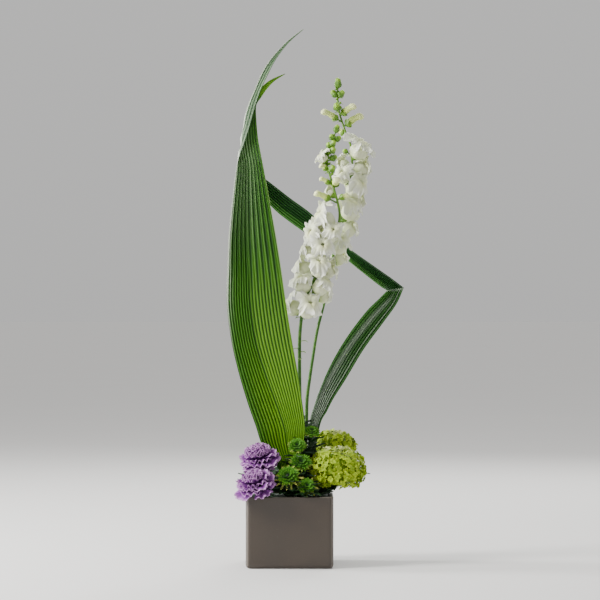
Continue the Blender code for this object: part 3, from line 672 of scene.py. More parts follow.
@dataclass(frozen=True)
class PleatedLeafFinish(Finish):
    """Satin leaf with fine veins along it, painted highlight on its ridges and painted shade in its valleys.

    Where the mesh keeps "lit", the glow of light shining through is painted into the colour. Where it keeps
    "under", the pale back shows.
    Its streak and rim values lay a painted highlight on it and its crease value painted shade. Where it
    keeps "wide", two pleats look like one.
    """

    # valley is painted shade in the valleys of the pleats and ridge a painted highlight on their ridges;
    # lit_valley and lit_ridge do the same within the painted glow.
    valley: Colour
    ridge: Colour
    lit_valley: Colour
    lit_ridge: Colour
    under_valley: Colour
    under_ridge: Colour
    streak: Colour
    glow: Colour
    glow_share: float
    roughness: float
    veins_each: float = 7.0
    vein_depth: float = 0.16

    def mixed(self, paint: Paint) -> Material:
        """Mix the finish.

        Args:
            paint: The empty tree of nodes.

        Returns:
            The material.
        """
        pleat, lit, under, streak, wide = paint.kept("pleat", "lit", "under", "streak", "wide")
        rim, margin, crease = paint.kept("rim", "margin", "crease")
        wave = pleat.folds()
        wave = wave + ((pleat * 0.5).folds() - wave) * wide
        veins = (pleat * self.veins_each).folds()
        mottle = paint.noise(60.0, 4.0)
        along = paint.noise(1.0, 3.0, (700, 700, 26))
        # Painted shade in the valleys and painted highlight on the ridges, with a mottle.
        base = paint.mix(wave.between(0.25, 0.85) * 0.85 + (mottle - 0.5) * 0.3, self.valley, self.ridge)
        # Painted glow of light through the leaf, with its own painted shade and highlight on the pleats.
        glowing = paint.mix(wave.between(0.25, 0.75) + (mottle - 0.5) * 0.2, self.lit_valley, self.lit_ridge)
        back = paint.mix((pleat * 0.3 + 0.1).folds().between(0.35, 0.9), self.under_valley, self.under_ridge)
        # Over it: painted glow, a faint lengthwise tone, the pale back, painted highlights along the streaks
        # and rim, the margin, and painted shade along the crease.
        for share, colour in (
                (lit.between(0.02, 0.9), glowing), (along.between(0.35, 0.8) * 0.16, self.ridge),
                (under, back), (streak * wave.between(0.5, 0.9), self.streak), (rim, self.streak),
                (margin, self.lit_ridge), (crease * 0.85, self.valley)):
            base = paint.mix(share, base, colour)
        rough = self.roughness + mottle * 0.12 + veins * 0.06
        relief = (veins * 0.5 + along * 0.5, self.vein_depth, 0.7)
        return paint.finish(base, rough, {"IOR": 1.34}, relief, self.glow, self.glow_share)


@dataclass(frozen=True)
class VeinedLeafFinish(Finish):
    """Broad leaf with a pale rib and side veins."""

    dark: Colour
    light: Colour
    vein: Colour
    glow: Colour
    glow_share: float = 0.12
    roughness: float = 0.42

    def mixed(self, paint: Paint) -> Material:
        """Mix the finish.

        Args:
            paint: The empty tree of nodes.

        Returns:
            The material.
        """
        vein, tint = paint.kept("vein", "tint")
        mottle = paint.noise(170.0, 5.0)
        base = paint.mix(mottle.between(0.3, 0.75) * 0.6 + tint * 0.4, self.dark, self.light)
        base = paint.mix(vein * 0.6, base, self.vein)
        relief = (vein * -0.7 + paint.noise(900.0, 2.0) * 0.5, 0.25, 0.8)
        return paint.finish(base, self.roughness + mottle * 0.15, {"IOR": 1.42}, relief, self.glow,
                            self.glow_share)


@dataclass(frozen=True)
class PetalFinish(Finish):
    """Soft petal whose colour runs from its root to its edge, with fine veins along it, and painted shade:
    as much as its tint value asks, and a little in the vein grooves.
    """

    root: Colour
    middle: Colour
    edge: Colour
    warm: Colour
    shade: Colour
    glow: Colour
    glow_share: float = 0.12
    root_end: float = 0.45
    edge_start: float = 0.8
    vein_count: float = 9.0
    roughness: float = 0.55

    def mixed(self, paint: Paint) -> Material:
        """Mix the finish.

        Args:
            paint: The empty tree of nodes.

        Returns:
            The material.
        """
        along, across, tint, warm = paint.kept("along", "across", "tint", "warm")
        veins = (across * self.vein_count).folds()
        mottle = paint.noise(320.0, 4.0)
        base = paint.mix(along.between(0.0, self.root_end), self.root, self.middle)
        edge = (along + mottle * 0.16 - 0.08).between(self.edge_start, 1.0)
        # Painted shade: tint sets how much shade a petal gets, and the vein grooves get a little.
        for share, colour in ((edge, self.edge), (tint * 0.55 + (mottle - 0.5) * 0.3, self.shade),
                              (warm, self.warm), (veins.between(0.7, 1.0) * 0.12, self.shade)):
            base = paint.mix(share, base, colour)
        relief = (veins * 0.6 + paint.noise(1400.0, 2.0) * 0.4, 0.06, 0.6)
        settings = {"IOR": 1.38, "Sheen Weight": 0.08, "Sheen Roughness": 0.4}
        return paint.finish(base, self.roughness + mottle * 0.15, settings, relief, self.glow,
                            self.glow_share)


@dataclass(frozen=True)
class StemFinish(Finish):
    """Green stem with long fine grooves."""

    green: Colour
    pale: Colour
    glow: Colour
    glow_share: float = 0.1

    def mixed(self, paint: Paint) -> Material:
        """Mix the finish.

        Args:
            paint: The empty tree of nodes.

        Returns:
            The material.
        """
        grooves, mottle = paint.noise(1.0, 2.0, (900, 900, 40)), paint.noise(140.0, 4.0)
        base = paint.mix(paint.kept("tint")[0] + (mottle - 0.5) * 0.5, self.green, self.pale)
        settings = {"IOR": 1.42, "Coat Weight": 0.1, "Coat Roughness": 0.25}
        relief = (grooves + mottle * 0.4, 0.2, 0.7)
        return paint.finish(base, 0.38 + grooves * 0.2, settings, relief, self.glow, self.glow_share)


@dataclass(frozen=True)
class CeramicFinish(Finish):
    """Satin glaze with a faint mottle and a lighter line over the edges and the rim, where it thins, which
    is also a painted highlight.
    """

    body: Colour = (0.029, 0.0195, 0.0120)
    warm: Colour = (0.038, 0.0255, 0.0155)
    # Colour of the pale specks, and of the line along the corners and rim, which is painted highlight there.
    thin: Colour = (0.22, 0.19, 0.16)
    half_side: float = 62.5
    height: float = 102.0

    def mixed(self, paint: Paint) -> Material:
        """Mix the finish.

        Args:
            paint: The empty tree of nodes.

        Returns:
            The material.
        """
        cloud, speck = paint.noise(14.0, 4.0), paint.noise(900.0, 2.0)
        x, y, z = paint.parts(paint.place())
        # Painted highlight: a lighter band along the corners and the top rim.
        corner = x.math("ABSOLUTE").math("MINIMUM", y.math("ABSOLUTE"))
        edge = corner.between((self.half_side - 4.2) * MM, (self.half_side - 1.6) * MM)
        rim = z.between((self.height - 1.6) * MM, (self.height - 0.3) * MM)
        base = paint.mix(cloud.between(0.3, 0.7), self.body, self.warm)
        base = paint.mix(speck.between(0.66, 0.76) * 0.25, base, self.thin)
        base = paint.mix(edge.math("MAXIMUM", rim) * 0.5, base, self.thin)
        rough = 0.36 + cloud * 0.14 + speck * 0.06
        relief = (paint.noise(45.0, 3.0) * 0.7 + speck * 0.3, 0.25, 0.6)
        return paint.finish(base, rough, {"IOR": 1.5, "Coat Weight": 0.35, "Coat Roughness": 0.3}, relief)


@dataclass(frozen=True)
class FoamFinish(Finish):
    """Wet open-celled foam."""

    dark: Colour = (0.012, 0.035, 0.016)
    light: Colour = (0.05, 0.12, 0.055)
    cells_per_metre: float = 900.0

    def mixed(self, paint: Paint) -> Material:
        """Mix the finish.

        Args:
            paint: The empty tree of nodes.

        Returns:
            The material.
        """
        cells = paint.node("ShaderNodeTexVoronoi", {"feature": "F1"},
                           {"Vector": paint.place(), "Scale": self.cells_per_metre})
        cell, cloud = Signal(paint, cells.outputs["Distance"]), paint.noise(50.0, 5.0)
        base = paint.mix(cell.between(0.15, 0.7) * 0.7 + (cloud - 0.5) * 0.5, self.dark, self.light)
        return paint.finish(base, 0.55 + cloud * 0.3, {}, (cell + cloud, 0.6, 1.0))


@dataclass(frozen=True)
class FloorFinish(Finish):
    """Matt pale floor."""

    pale: Colour = (0.70, 0.695, 0.685)
    warm: Colour = (0.73, 0.72, 0.705)

    def mixed(self, paint: Paint) -> Material:
        """Mix the finish."""
        return paint.finish(paint.mix(paint.noise(2.0, 2.0), self.pale, self.warm), 0.85, {})


# In both pleated finishes the valley colours are painted shade, the ridge colours painted highlight, the lit
# pair a painted glow of light through the leaf, and streak a painted highlight.
TALL_LEAF = PleatedLeafFinish(
    "tall_leaf_satin", valley=(0.002, 0.020, 0.002), ridge=(0.055, 0.19, 0.010),
    lit_valley=(0.005, 0.040, 0.001), lit_ridge=(0.17, 0.38, 0.004),
    under_valley=(0.03, 0.075, 0.03), under_ridge=(0.20, 0.30, 0.17), streak=(0.70, 0.76, 0.64),
    glow=(0.16, 0.42, 0.01), glow_share=0.22, roughness=0.36)
FOLDED_LEAF = PleatedLeafFinish(
    "folded_leaf_satin", valley=(0.003, 0.022, 0.004), ridge=(0.011, 0.062, 0.010),
    lit_valley=(0.012, 0.07, 0.006), lit_ridge=(0.055, 0.18, 0.03),
    under_valley=(0.02, 0.06, 0.02), under_ridge=(0.05, 0.12, 0.05), streak=(0.50, 0.56, 0.48),
    glow=(0.03, 0.16, 0.01), glow_share=0.08, roughness=0.32)
# Near-black green: the leaves' own dark colour, darkened further as painted shade, since these leaves fill
# the shaded gaps under the flowers.
BROAD_LEAF = VeinedLeafFinish(
    "broad_leaf_satin", dark=(0.003, 0.016, 0.004), light=(0.010, 0.055, 0.008),
    vein=(0.03, 0.11, 0.02), glow=(0.02, 0.10, 0.01))
WHITE_PETAL = PetalFinish(
    "white_petal_soft", root=(0.46, 0.58, 0.16), middle=(0.80, 0.83, 0.60),
    edge=(0.90, 0.90, 0.86), warm=(0.80, 0.82, 0.44), shade=(0.64, 0.69, 0.46),
    glow=(0.82, 0.88, 0.58), glow_share=0.22, root_end=0.3, edge_start=0.7, vein_count=20.0)
CREAM_BUD = PetalFinish(
    "cream_bud_soft", root=(0.20, 0.40, 0.03), middle=(0.60, 0.70, 0.20),
    edge=(0.82, 0.84, 0.42), warm=(0.86, 0.87, 0.52), shade=(0.55, 0.67, 0.17),
    glow=(0.6, 0.75, 0.2), vein_count=2.0)
LILAC_PETAL = PetalFinish(
    "lilac_petal_soft", root=(0.06, 0.005, 0.09), middle=(0.23, 0.040, 0.31),
    edge=(0.62, 0.31, 0.66), warm=(0.68, 0.43, 0.67), shade=(0.14, 0.022, 0.19),
    glow=(0.50, 0.14, 0.52), root_end=0.75, edge_start=0.82)
LIME_SEPAL = PetalFinish(
    "lime_sepal_soft", root=(0.05, 0.13, 0.003), middle=(0.38, 0.53, 0.008),
    edge=(0.78, 0.85, 0.06), warm=(0.86, 0.85, 0.50), shade=(0.07, 0.19, 0.004),
    glow=(0.55, 0.72, 0.02), glow_share=0.15, vein_count=4.0)
GREEN_RAY = PetalFinish(
    "green_ray_soft", root=(0.005, 0.030, 0.001), middle=(0.032, 0.14, 0.002),
    edge=(0.11, 0.36, 0.004), warm=(0.74, 0.74, 0.16), shade=(0.012, 0.06, 0.002),
    glow=(0.10, 0.36, 0.005), vein_count=3.0, edge_start=0.6)
BUTTON_EYE = StemFinish(
    "button_eye", green=(0.003, 0.014, 0.002), pale=(0.02, 0.09, 0.008), glow=(0.02, 0.1, 0.01))
STEM = StemFinish(
    "stem_satin", green=(0.020, 0.105, 0.004), pale=(0.28, 0.50, 0.035), glow=(0.10, 0.34, 0.02))
GLAZE = CeramicFinish("satin_glaze")
WET_FOAM = FoamFinish("wet_cells")
PALE_FLOOR = FloorFinish("pale_floor")


@dataclass
class TallLeaf:
    """Tall pleated leaf with a curled margin and a split tip."""

    rows: tuple[tuple[float, ...], ...] = (
        (118, -3, 5, -4, 0), (148, -23, 15, -5, 0), (173, -40, 20, -7, 0), (200, -49, 22, -12, 0),
        (235, -61, 18, -18, 0), (280, -74, 11, -25, 0), (325, -84, 3, -32, 0), (375, -90, -5, -38, 0),
        (425, -89, -12, -41, 0), (475, -87, -20, -42, 0), (525, -82, -29, -40, 0),
        (572, -76.5, -37.5, -35.5, 0), (590, -74, -41, -32.5, 3), (612, -70.5, -45, -30, 7.5),
        (637, -66, -47.5, -27, 10.5), (661, -60, -48, -24, 11))
    outer_lobe: tuple[Pair, ...] = (
        ((-51, -19, 684), (-41, -24, 685)), ((-40, -15, 710), (-31, -19, 707)),
        ((-28, -12, 729), (-22, -14, 725)), ((-14, -9, 745), (-10.5, -10, 742)),
        ((0, -7, 758.5), (2, -7, 756.5)), ((19, -4, 773), (19.6, -4, 772.4)))
    inner_lobe: tuple[Pair, ...] = (
        ((-49, -15, 678), (-41, -13, 674)), ((-40, -10, 689.5), (-33, -9, 686)),
        ((-27, -6, 700), (-22.5, -6, 697.5)), ((-7, -2, 709), (-6.5, -2, 708.5)))
    stalk: tuple[Triple, ...] = ((0.5, -3, 60), (0.5, -3, 98), (0.5, -3.5, 116), (0.5, -4, 132))
    stalk_radii: tuple[float, float] = (4.2, 1.6)
    fold: float = 0.39
    base_spread: float = 0.22
    widest_curl: float = 11.0
    strong_pleats: int = 9
    fine_pleats: int = 11
    columns_each: int = 6
    steps: int = 7
    strong_height: float = 1.05
    fine_height: float = 0.6
    valley_depth: float = 7.0
    # Widths of the curled and the plain side from which on their pleats are full.
    full_widths: tuple[float, float] = (28.0, 36.0)
    # Where its valley is deepest across the blade, and how far the valley reaches from there.
    valley_place: float = 0.42
    valley_reach: float = 0.58
    foot: float = 118.0
    tip: float = 773.0
    split_start: float = 661.0
    split_end: float = 690.0

    def columns(self) -> tuple[Array, Array]:
        """Place of each column across the blade, and its count of pleats from the left.

        Returns:
            Both, with one number for each column.
        """
        left = np.linspace(0, self.fold, self.strong_pleats * self.columns_each + 1)
        right = np.linspace(self.fold, 1, self.fine_pleats * self.columns_each + 1)
        place = np.concatenate([left, right[1:]])
        return place, np.arange(len(place)) / self.columns_each

    def section(self, row: Sequence[float], place: Array) -> Array:
        """Points of one row across the blade.

        Args:
            row: Height, left X, right X, Y and width of the curled margin.
            place: Shares across the blade.

        Returns:
            One point for each share.
        """
        height, left, right, depth, curl = row
        width, grown = right - left, min(1.0, curl / 6)
        spread = self.fold + self.base_spread * float(smoothstep(340.0, 150.0, height))
        place = np.where(place < self.fold, place / self.fold * spread,
                         spread + (place - self.fold) / (1 - self.fold) * (1 - spread))
        fold = max(self.fold * curl / self.widest_curl, 1e-6)
        margin = np.clip(1 - place / fold, 0, 1)
        rise = (1 - (1 - margin) ** 2.4) * (0.45 + 0.55 * margin)
        inner = np.clip((place - fold) / (1 - fold), 0, 1)
        away = np.abs(place - self.valley_place) / self.valley_reach
        bowl = self.valley_depth * (1 - grown) * min(1.0, width / 70) * np.maximum(0.0, 1 - away)
        x = left + curl * margin ** 1.1 + width * inner
        bend = 3.0 * np.sin(np.minimum(inner * 2.2, 1) * math.pi / 2) * curl / self.widest_curl
        y = depth + bowl + bend - 5.0 * grown * rise
        return np.stack([x, y, np.full_like(place, height)], -1)

    def ribbon(self, lobe: Sequence[Pair], first: int, last: int, outer: bool) -> tuple[Array, Array]:
        """Smooth surface of the columns that run up into one lobe.

        Args:
            lobe: Pairs of edge points above the blade's last row.
            first: First column.
            last: Last column.
            outer: Whether it is the curled side, whose pairs run from the last column to the first.

        Returns:
            The grid of points, and the curl of the margin at each row.
        """
        place = self.columns()[0]
        share = np.linspace(0, 1, last - first + 1)[:, None]
        rows = [self.section(row, place)[first:last + 1] for row in self.rows]
        for pair in lobe:
            start, end = np.array(pair[::-1] if outer else pair, float)
            cup = np.array([0, 1.2, 0]) * np.sin(math.pi * share) * np.linalg.norm(end - start) / 12
            rows.append(start + (end - start) * share + cup)
        curls = [row[4] for row in self.rows] + [self.rows[-1][4]] * len(lobe)
        return smooth(np.array(rows), self.steps), smooth(np.array(curls), self.steps)

    def tones(self, across: Array, z: Array, curl: Array, outer: bool) -> dict[str, Array]:
        """What the finish reads over one side of the blade.

        Args:
            across: Shares across the blade.
            z: Heights.
            curl: Curl of the margin at each row.
            outer: Whether it is the curled side.

        Returns:
            Numbers for each point, by name.
        """
        rise = (z - self.foot) / (self.tip - self.foot)
        split = smoothstep(self.split_start, self.split_end, z)
        fold = self.fold * np.clip(curl / self.widest_curl, 0, 1)[:, None]
        under = smoothstep(0.5, 2.0, curl)[:, None] * smoothstep(0.012, -0.012, across - fold)
        # Painted glow of light through the leaf: over the plain side, fading upward, low on the curled side
        # and on the inner lobe of the tip.
        lit = smoothstep(0.385, 0.43, across) * (0.72 - 0.65 * smoothstep(0.15, 0.6, rise))
        lit = lit + (0.8 * smoothstep(0.395, 0.37, across) * smoothstep(0.45, 0.05, rise)
                     * smoothstep(-0.1, 0.3, across))
        lit = lit + 0.75 * split * (0.0 if outer else 1.0)
        # Painted highlight: a pale line along the left margin and pale lines on the ridges of the upper
        # part.
        streak = 0.9 * smoothstep(0.15, 0.0, across) * smoothstep(0.3, 0.55, rise) * (1 - under)
        upper = smoothstep(0.45, 0.7, rise) * (1 - split)
        streak = streak + 0.28 * smoothstep(0.9, 0.4, across) * upper * (1 - under) * (1 - streak)
        # Painted highlight along the fold of the curled margin, along the right edge and along the left
        # edge.
        rim = 0.95 * under * smoothstep(0.09, 0.03, np.abs(across - fold))
        rim = rim + 0.45 * smoothstep(0.985, 0.995, across) * smoothstep(0.35, 0.5, rise)
        rim = rim + 0.75 * (1 - under) * smoothstep(0.04, 0.01, across) * smoothstep(0.25, 0.5, rise)
        # crease is painted shade along the fold between the two sides, on the lower part of the leaf.
        return {"lit": lit, "under": under, "streak": streak, "rim": rim,
                "margin": smoothstep(0.985, 0.997, across) * smoothstep(0.1, 0.4, rise),
                "crease": np.exp(-((across - self.fold) / 0.010) ** 2) * smoothstep(0.5, 0.25, rise),
                "wide": smoothstep(0.38, 0.52, rise)}

    def add_side(self, shape: Shape, lobe: Sequence[Pair], first: int, last: int, outer: bool) -> None:
        """Add one side of the blade with its pleats.

        Args:
            shape: The growing piece.
            lobe: Pairs of edge points of its lobe.
            first: First column.
            last: Last column.
            outer: Whether it is the curled side.
        """
        grid, curl = self.ribbon(lobe, first, last, outer)
        place, pleat = (values[first:last + 1] for values in self.columns())
        width = np.linalg.norm(grid[:, -1] - grid[:, 0], axis=-1)
        fullness = np.minimum(1.0, width / self.full_widths[0 if outer else 1])
        height = np.where(place < self.fold, self.strong_height, self.fine_height)
        edge = np.minimum(smoothstep(0.0, 0.035, place), smoothstep(0.0, 0.02, 1 - place))
        lift = np.outer(fullness * (1 - 0.62 * smoothstep(0.0, 4.0, curl)),
                        (wave_of(pleat) ** 0.85 * 2 - 1) * height * edge)
        across = np.broadcast_to(place, lift.shape)
        shape.blade(grid + lift[..., None] * grid_normals(grid), LEAF_THICKNESS,
                    pleat=np.broadcast_to(pleat, lift.shape),
                    **self.tones(across, grid[..., 2], curl, outer))

    def build(self) -> None:
        """Build and dress the leaf."""
        shape = Shape()
        bend = self.strong_pleats * self.columns_each
        last = bend + self.fine_pleats * self.columns_each
        self.add_side(shape, self.outer_lobe, 0, bend, True)
        self.add_side(shape, self.inner_lobe, bend, last, False)
        # The stalk gets a little painted glow.
        shape.tube(self.stalk, self.stalk_radii, 20, lit=0.3)
        shape.stand_for("leaf_tall", "pleated_leaf", "tall_leaf", TALL_LEAF)


@dataclass
class FoldedLeaf:
    """Narrow pleated leaf with one sharp crease."""

    edges: tuple[Pair, ...] = (
        ((22, 28, 98), (29, 28, 98)), ((25, 27, 150), (36, 26, 150)), ((29, 27, 204), (44, 27, 200)),
        ((35, 30, 226), (54, 30, 220)), ((44, 33, 252), (64, 33, 239)), ((59, 37, 286), (82, 37, 267)),
        ((81, 42, 324), (108, 42, 310)), ((110, 47, 363), (136, 47, 348)), ((132, 50, 385), (156, 50, 376)),
        ((143, 54, 396), (167, 54, 400)), ((132, 62, 403), (149, 60, 414)), ((103, 74, 426), (118, 70, 436)),
        ((67, 88, 455), (81, 82, 463)), ((41, 94, 471), (56, 90, 486)), ((15, 95, 487), (30, 92, 511)),
        ((-15, 92, 509), (0, 90, 533)), ((-32, 84, 525), (-21, 82, 549)), ((-50, 74, 543), (-41, 73, 563)),
        ((-64, 62, 568), (-63, 62, 570)))
    crease: int = 9
    stalk: tuple[Triple, ...] = ((25.5, 28, 60), (25.5, 28, 98), (27, 28.5, 122), (30, 28, 148))
    stalk_radii: tuple[float, float] = (4.0, 1.4)
    pleats: int = 8
    columns_each: int = 6
    steps: int = 12
    pleat_height: float = 1.0
    belly: float = 3.0
    # Width of the blade from which on its pleats are full.
    full_width: float = 24.0

    def upper_tones(self, across: Array, along: Array) -> dict[str, Array]:
        """What the finish reads over the upper limb, from shares across and along it."""
        # A faint painted highlight where across nears 1, and painted glow where across is below about 0.45.
        return {"streak": 0.12 * smoothstep(0.8, 1.0, across) * (1 - along),
                "lit": 0.85 * smoothstep(0.45, 0.2, across) * smoothstep(0.0, 0.15, along)}

    def lower_tones(self, across: Array, along: Array) -> dict[str, Array]:
        """What the finish reads over the lower limb, from shares across and along it.

        Args:
            across: Shares across the limb.
            along: Shares along it.

        Returns:
            Numbers for each point, by name.
        """
        # Painted highlight: pale lines on the middle pleats and near one edge, a sheen band that crosses the
        # limb as it rises, and a line at the crease. lit is painted glow over the whole limb.
        streak = 0.8 * smoothstep(0.12, 0.3, across) * smoothstep(0.92, 0.75, across)
        streak = streak * smoothstep(0.05, 0.25, along) * smoothstep(0.7, 0.35, along)
        streak = streak + 0.55 * np.exp(-((across - 0.84) / 0.05) ** 2) * smoothstep(0.1, 0.4, along)
        sheen = (across - 0.08 - 0.5 * along ** 1.5) / (0.16 - 0.06 * along)
        rim = 0.42 * np.exp(-sheen ** 2) * smoothstep(0.05, 0.3, along) * smoothstep(1.0, 0.85, along)
        lit = 0.3 + 0.3 * across + 0.6 * smoothstep(0.4, 0.1, across) * smoothstep(0.4, 0.75, along)
        return {"streak": streak, "rim": rim + 0.4 * smoothstep(0.975, 0.99, along), "lit": lit}

    def add_limb(self, shape: Shape, first: int, last: int, upper: bool) -> None:
        """Add the blade between two of its edge pairs.

        Args:
            shape: The growing piece.
            first: First pair.
            last: Last pair.
            upper: Whether it is the upper limb.
        """
        pairs = np.array(self.edges[first:last + 1], float)
        count = self.pleats * self.columns_each + 1
        share = np.linspace(0, 1, count)
        grid = smooth(pairs[:, :1] * (1 - share)[None, :, None] + pairs[:, 1:] * share[None, :, None],
                      self.steps)
        fullness = np.minimum(1.0, np.linalg.norm(grid[:, -1] - grid[:, 0], axis=-1) / self.full_width)
        grid[..., 1] += np.outer(fullness, self.belly * (1 - (2 * share - 1) ** 2))
        pleat = np.arange(count) / self.columns_each
        edge = np.minimum(smoothstep(0, 0.05, share), smoothstep(0, 0.05, 1 - share))
        lift = np.outer(fullness, (wave_of(pleat) * 2 - 1) * self.pleat_height * edge)
        across = np.broadcast_to(share, lift.shape)
        tones = self.upper_tones if upper else self.lower_tones
        shape.blade(grid + lift[..., None] * grid_normals(grid), LEAF_THICKNESS,
                    pleat=np.broadcast_to(pleat, lift.shape),
                    margin=smoothstep(0.97, 1.0, np.abs(2 * across - 1)) * 0.6,
                    **tones(across, np.linspace(0, 1, len(grid))[:, None]))

    def build(self) -> None:
        """Build and dress the leaf."""
        shape = Shape()
        self.add_limb(shape, 0, self.crease, False)
        self.add_limb(shape, self.crease, len(self.edges) - 1, True)
        # The stalk gets a little painted glow.
        shape.tube(self.stalk, self.stalk_radii, 18, lit=0.2)
        shape.stand_for("leaf_folded", "creased_leaf", "dark_leaf", FOLDED_LEAF)


# Stem point, seat and way of a floret or bud, then its width and length, or its length and radius.
Seat = tuple[Array, Array, Array, float, float]


@dataclass
class Snapdragon:
    """White snapdragon spike: stem with calyxes and green buds, florets and cream buds."""

    label: str
    route: tuple[Triple, ...]
    radii: tuple[float, float]
    root: tuple[float, float, float]
    florets: tuple[tuple[float, float, float, float], ...]
    cream_buds: tuple[tuple[float, float, float, float, float], ...]
    green_buds: tuple[tuple[float, float, float, float, float], ...]
    # Ways that its lowest leaves point, then the heights and the count of the crowd near its tip.
    leafy: tuple[float, float] = (0.0, FULL_TURN)
    crowded: tuple[float, float] = (560.0, 620.0)
    crowd: int = 20
    # Heights of the small leaves left on its bare part.
    scars: tuple[float, ...] = ()
    floret_depth: float = 0.85
    floret_drop: float = 0.7
    shortest_stalk: float = 5.5
    cup_height: float = 4.2
    cup_floor: float = -0.75
    bud_drop: float = 0.7
    green_bud_drop: float = 0.8
    calyx_sides: int = 30
    bract_grid: tuple[int, int] = (7, 5)
    stem_sides: int = 16
    leaf_slot: int = 1
    # Small leaves at its foot: lower and upper height over the foam, how many, the longest one.
    undergrowth: tuple[tuple[float, float, int, float], ...] = ((0, 40, 14, 46.0), (40, 108, 13, 34.0))
    floret_sides: int = 72
    floret_rows: int = 24
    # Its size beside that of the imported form.
    floret_flare: float = 1.12
    floret_stretch: float = 1.04
    # Where its lips begin along its length, and its radius there and where it is narrowest.
    lip_start: float = 0.82
    lip_radius: float = 0.35
    least_radius: float = 2.2
    frill_depth: float = 0.07
    # A floret's face: degrees round from its upper lip, and reach as a share of its width.
    face: tuple[tuple[float, float], ...] = (
        (0, .43), (18, .56), (38, .63), (60, .57), (78, .42), (92, .43), (110, .54), (132, .52),
        (150, .40), (164, .53), (180, .57), (196, .53), (210, .40), (228, .52), (250, .54), (268, .43),
        (282, .42), (300, .57), (322, .63), (342, .56), (360, .43))
    # Sections of a floret through both lips: shares of the way, then radius and height at each.
    stations: tuple[float, ...] = (0, .12, .3, .46, .56, .64, .73, .82, 1.0)
    lower_lip: tuple[tuple[float, float], ...] = (
        (0, 0), (.25, .10), (.35, .34), (.35, .60), (.05, .84), (.12, 1.02), (.28, .98), (.37, .80),
        (1, .52))
    upper_lip: tuple[tuple[float, float], ...] = (
        (0, 0), (.24, .10), (.32, .38), (.30, .66), (.05, .86), (.09, 1.02), (.2, 1.12), (.33, 1.14),
        (1, 1.06))

    def start_below(self, target: Array, drop: float) -> tuple[Array, Array]:
        """Point of the stem below a target by a drop, and the way from it to the target.

        Args:
            target: The point to reach.
            drop: How far below it the stem is left.

        Returns:
            The point and the way.
        """
        points = np.array(self.route, float)
        height = np.clip(target[2] - drop, points[0, 2], points[-1, 2])
        start = np.array([np.interp(height, points[:, 2], points[:, i]) for i in range(3)])
        return start, unit(target - start)

    def floret_seats(self) -> list[Seat]:
        """Stem point, seat, way, width and length of each floret.

        Returns:
            One seat for each.
        """
        seats = []
        for x, y, z, width in self.florets:
            face = np.array([x, y, z], float)
            start, way = self.start_below(face, width * self.floret_drop)
            length = min(self.floret_depth * width, np.linalg.norm(face - start) - self.shortest_stalk)
            seats.append((start, face - way * length, way, width, length))
        return seats

    def bud_seats(self, buds: Sequence[Sequence[float]], drop: float) -> list[Seat]:
        """Stem point, seat, way, length and radius of each bud.

        Args:
            buds: Tip, length and radius of each.
            drop: How far below its tip the stem is left, as a share of its length.

        Returns:
            One seat for each.
        """
        seats = []
        for x, y, z, length, radius in buds:
            tip = np.array([x, y, z], float)
            start, way = self.start_below(tip, length * drop)
            seats.append((start, tip - way * length, way, length, radius))
        return seats

    def floret(self, width: float, length: float, phase: float,
               bend: float) -> tuple[Array, Array, Array, Array]:
        """Two-lipped trumpet about Z with its upper lip toward +Y.

        Args:
            width: Width of its face.
            length: Length of its tube.
            phase: Where its ruffles start, in radians.
            bend: How far its mouth turns up, in radians.

        Returns:
            Its points as a closed polar grid, the shares along and around, and the warm patch.
        """
        s, angle = np.meshgrid(np.linspace(0, 1, self.floret_rows),
                               np.arange(self.floret_sides) * 360.0 / self.floret_sides, indexing="ij")
        turn = np.radians(angle)
        face, low, high = (np.array(table) for table in (self.face, self.lower_lip, self.upper_lip))
        reach = np.interp(angle, face[:, 0], face[:, 1]) * (1 + 0.11 * np.sin(np.radians(2 * angle) + phase))
        upper = smoothstep(-0.4, 0.4, np.cos(turn))
        radius, height = ((1 - upper) * np.interp(s, self.stations, low[:, i])
                          + upper * np.interp(s, self.stations, high[:, i]) for i in range(2))
        lip = smoothstep(0.7, 1.0, s)
        lobe = np.interp(s, (self.lip_start, 1.0), (0.0, 1.0)) * (reach - self.lip_radius) + self.lip_radius
        radius = np.maximum(np.where(s > self.lip_start, lobe, radius) * width, self.least_radius)
        height = height * length
        for grid in (radius, height):
            grid[1:-1] = 0.25 * grid[:-2] + 0.5 * grid[1:-1] + 0.25 * grid[2:]
        frill = (np.sin(turn * 9 + phase) + 0.9 * np.sin(turn * 14 - 2 * phase)
                 + 0.6 * np.sin(turn * 23 + 3 * phase))
        height = height + self.frill_depth * width * lip ** 1.1 * frill
        height = height + 0.08 * width * lip * np.sin(turn * 3 + phase)
        pouch = smoothstep(0.05, 0.3, s) * (1 - lip)
        radius = radius * (1 + 0.09 * lip * np.sin(turn * 13 + 2 * phase)
                           + 0.035 * pouch * np.cos(turn * 6 + phase))
        palate = np.exp(-((angle - 180) / 60) ** 2) * np.exp(-((s - 0.66) / 0.1) ** 2)
        height = height - 0.07 * width * palate * np.exp(-((angle - 180) / 13) ** 2)
        x, y, middle = radius * -np.sin(turn), radius * np.cos(turn), 0.42 * length
        lean = bend * smoothstep(0.1, 0.5, s)
        y, height = (y * np.cos(lean) + (height - middle) * np.sin(lean),
                     middle + (height - middle) * np.cos(lean) - y * np.sin(lean))
        return np.stack([x, y, height], -1), s, angle / 360.0, palate

    def build_florets(self) -> None:
        """Build and dress each floret as a piece of its own."""
        draw = chance(len(self.label))
        for number, (_, seat, way, width, length) in enumerate(self.floret_seats(), 1):
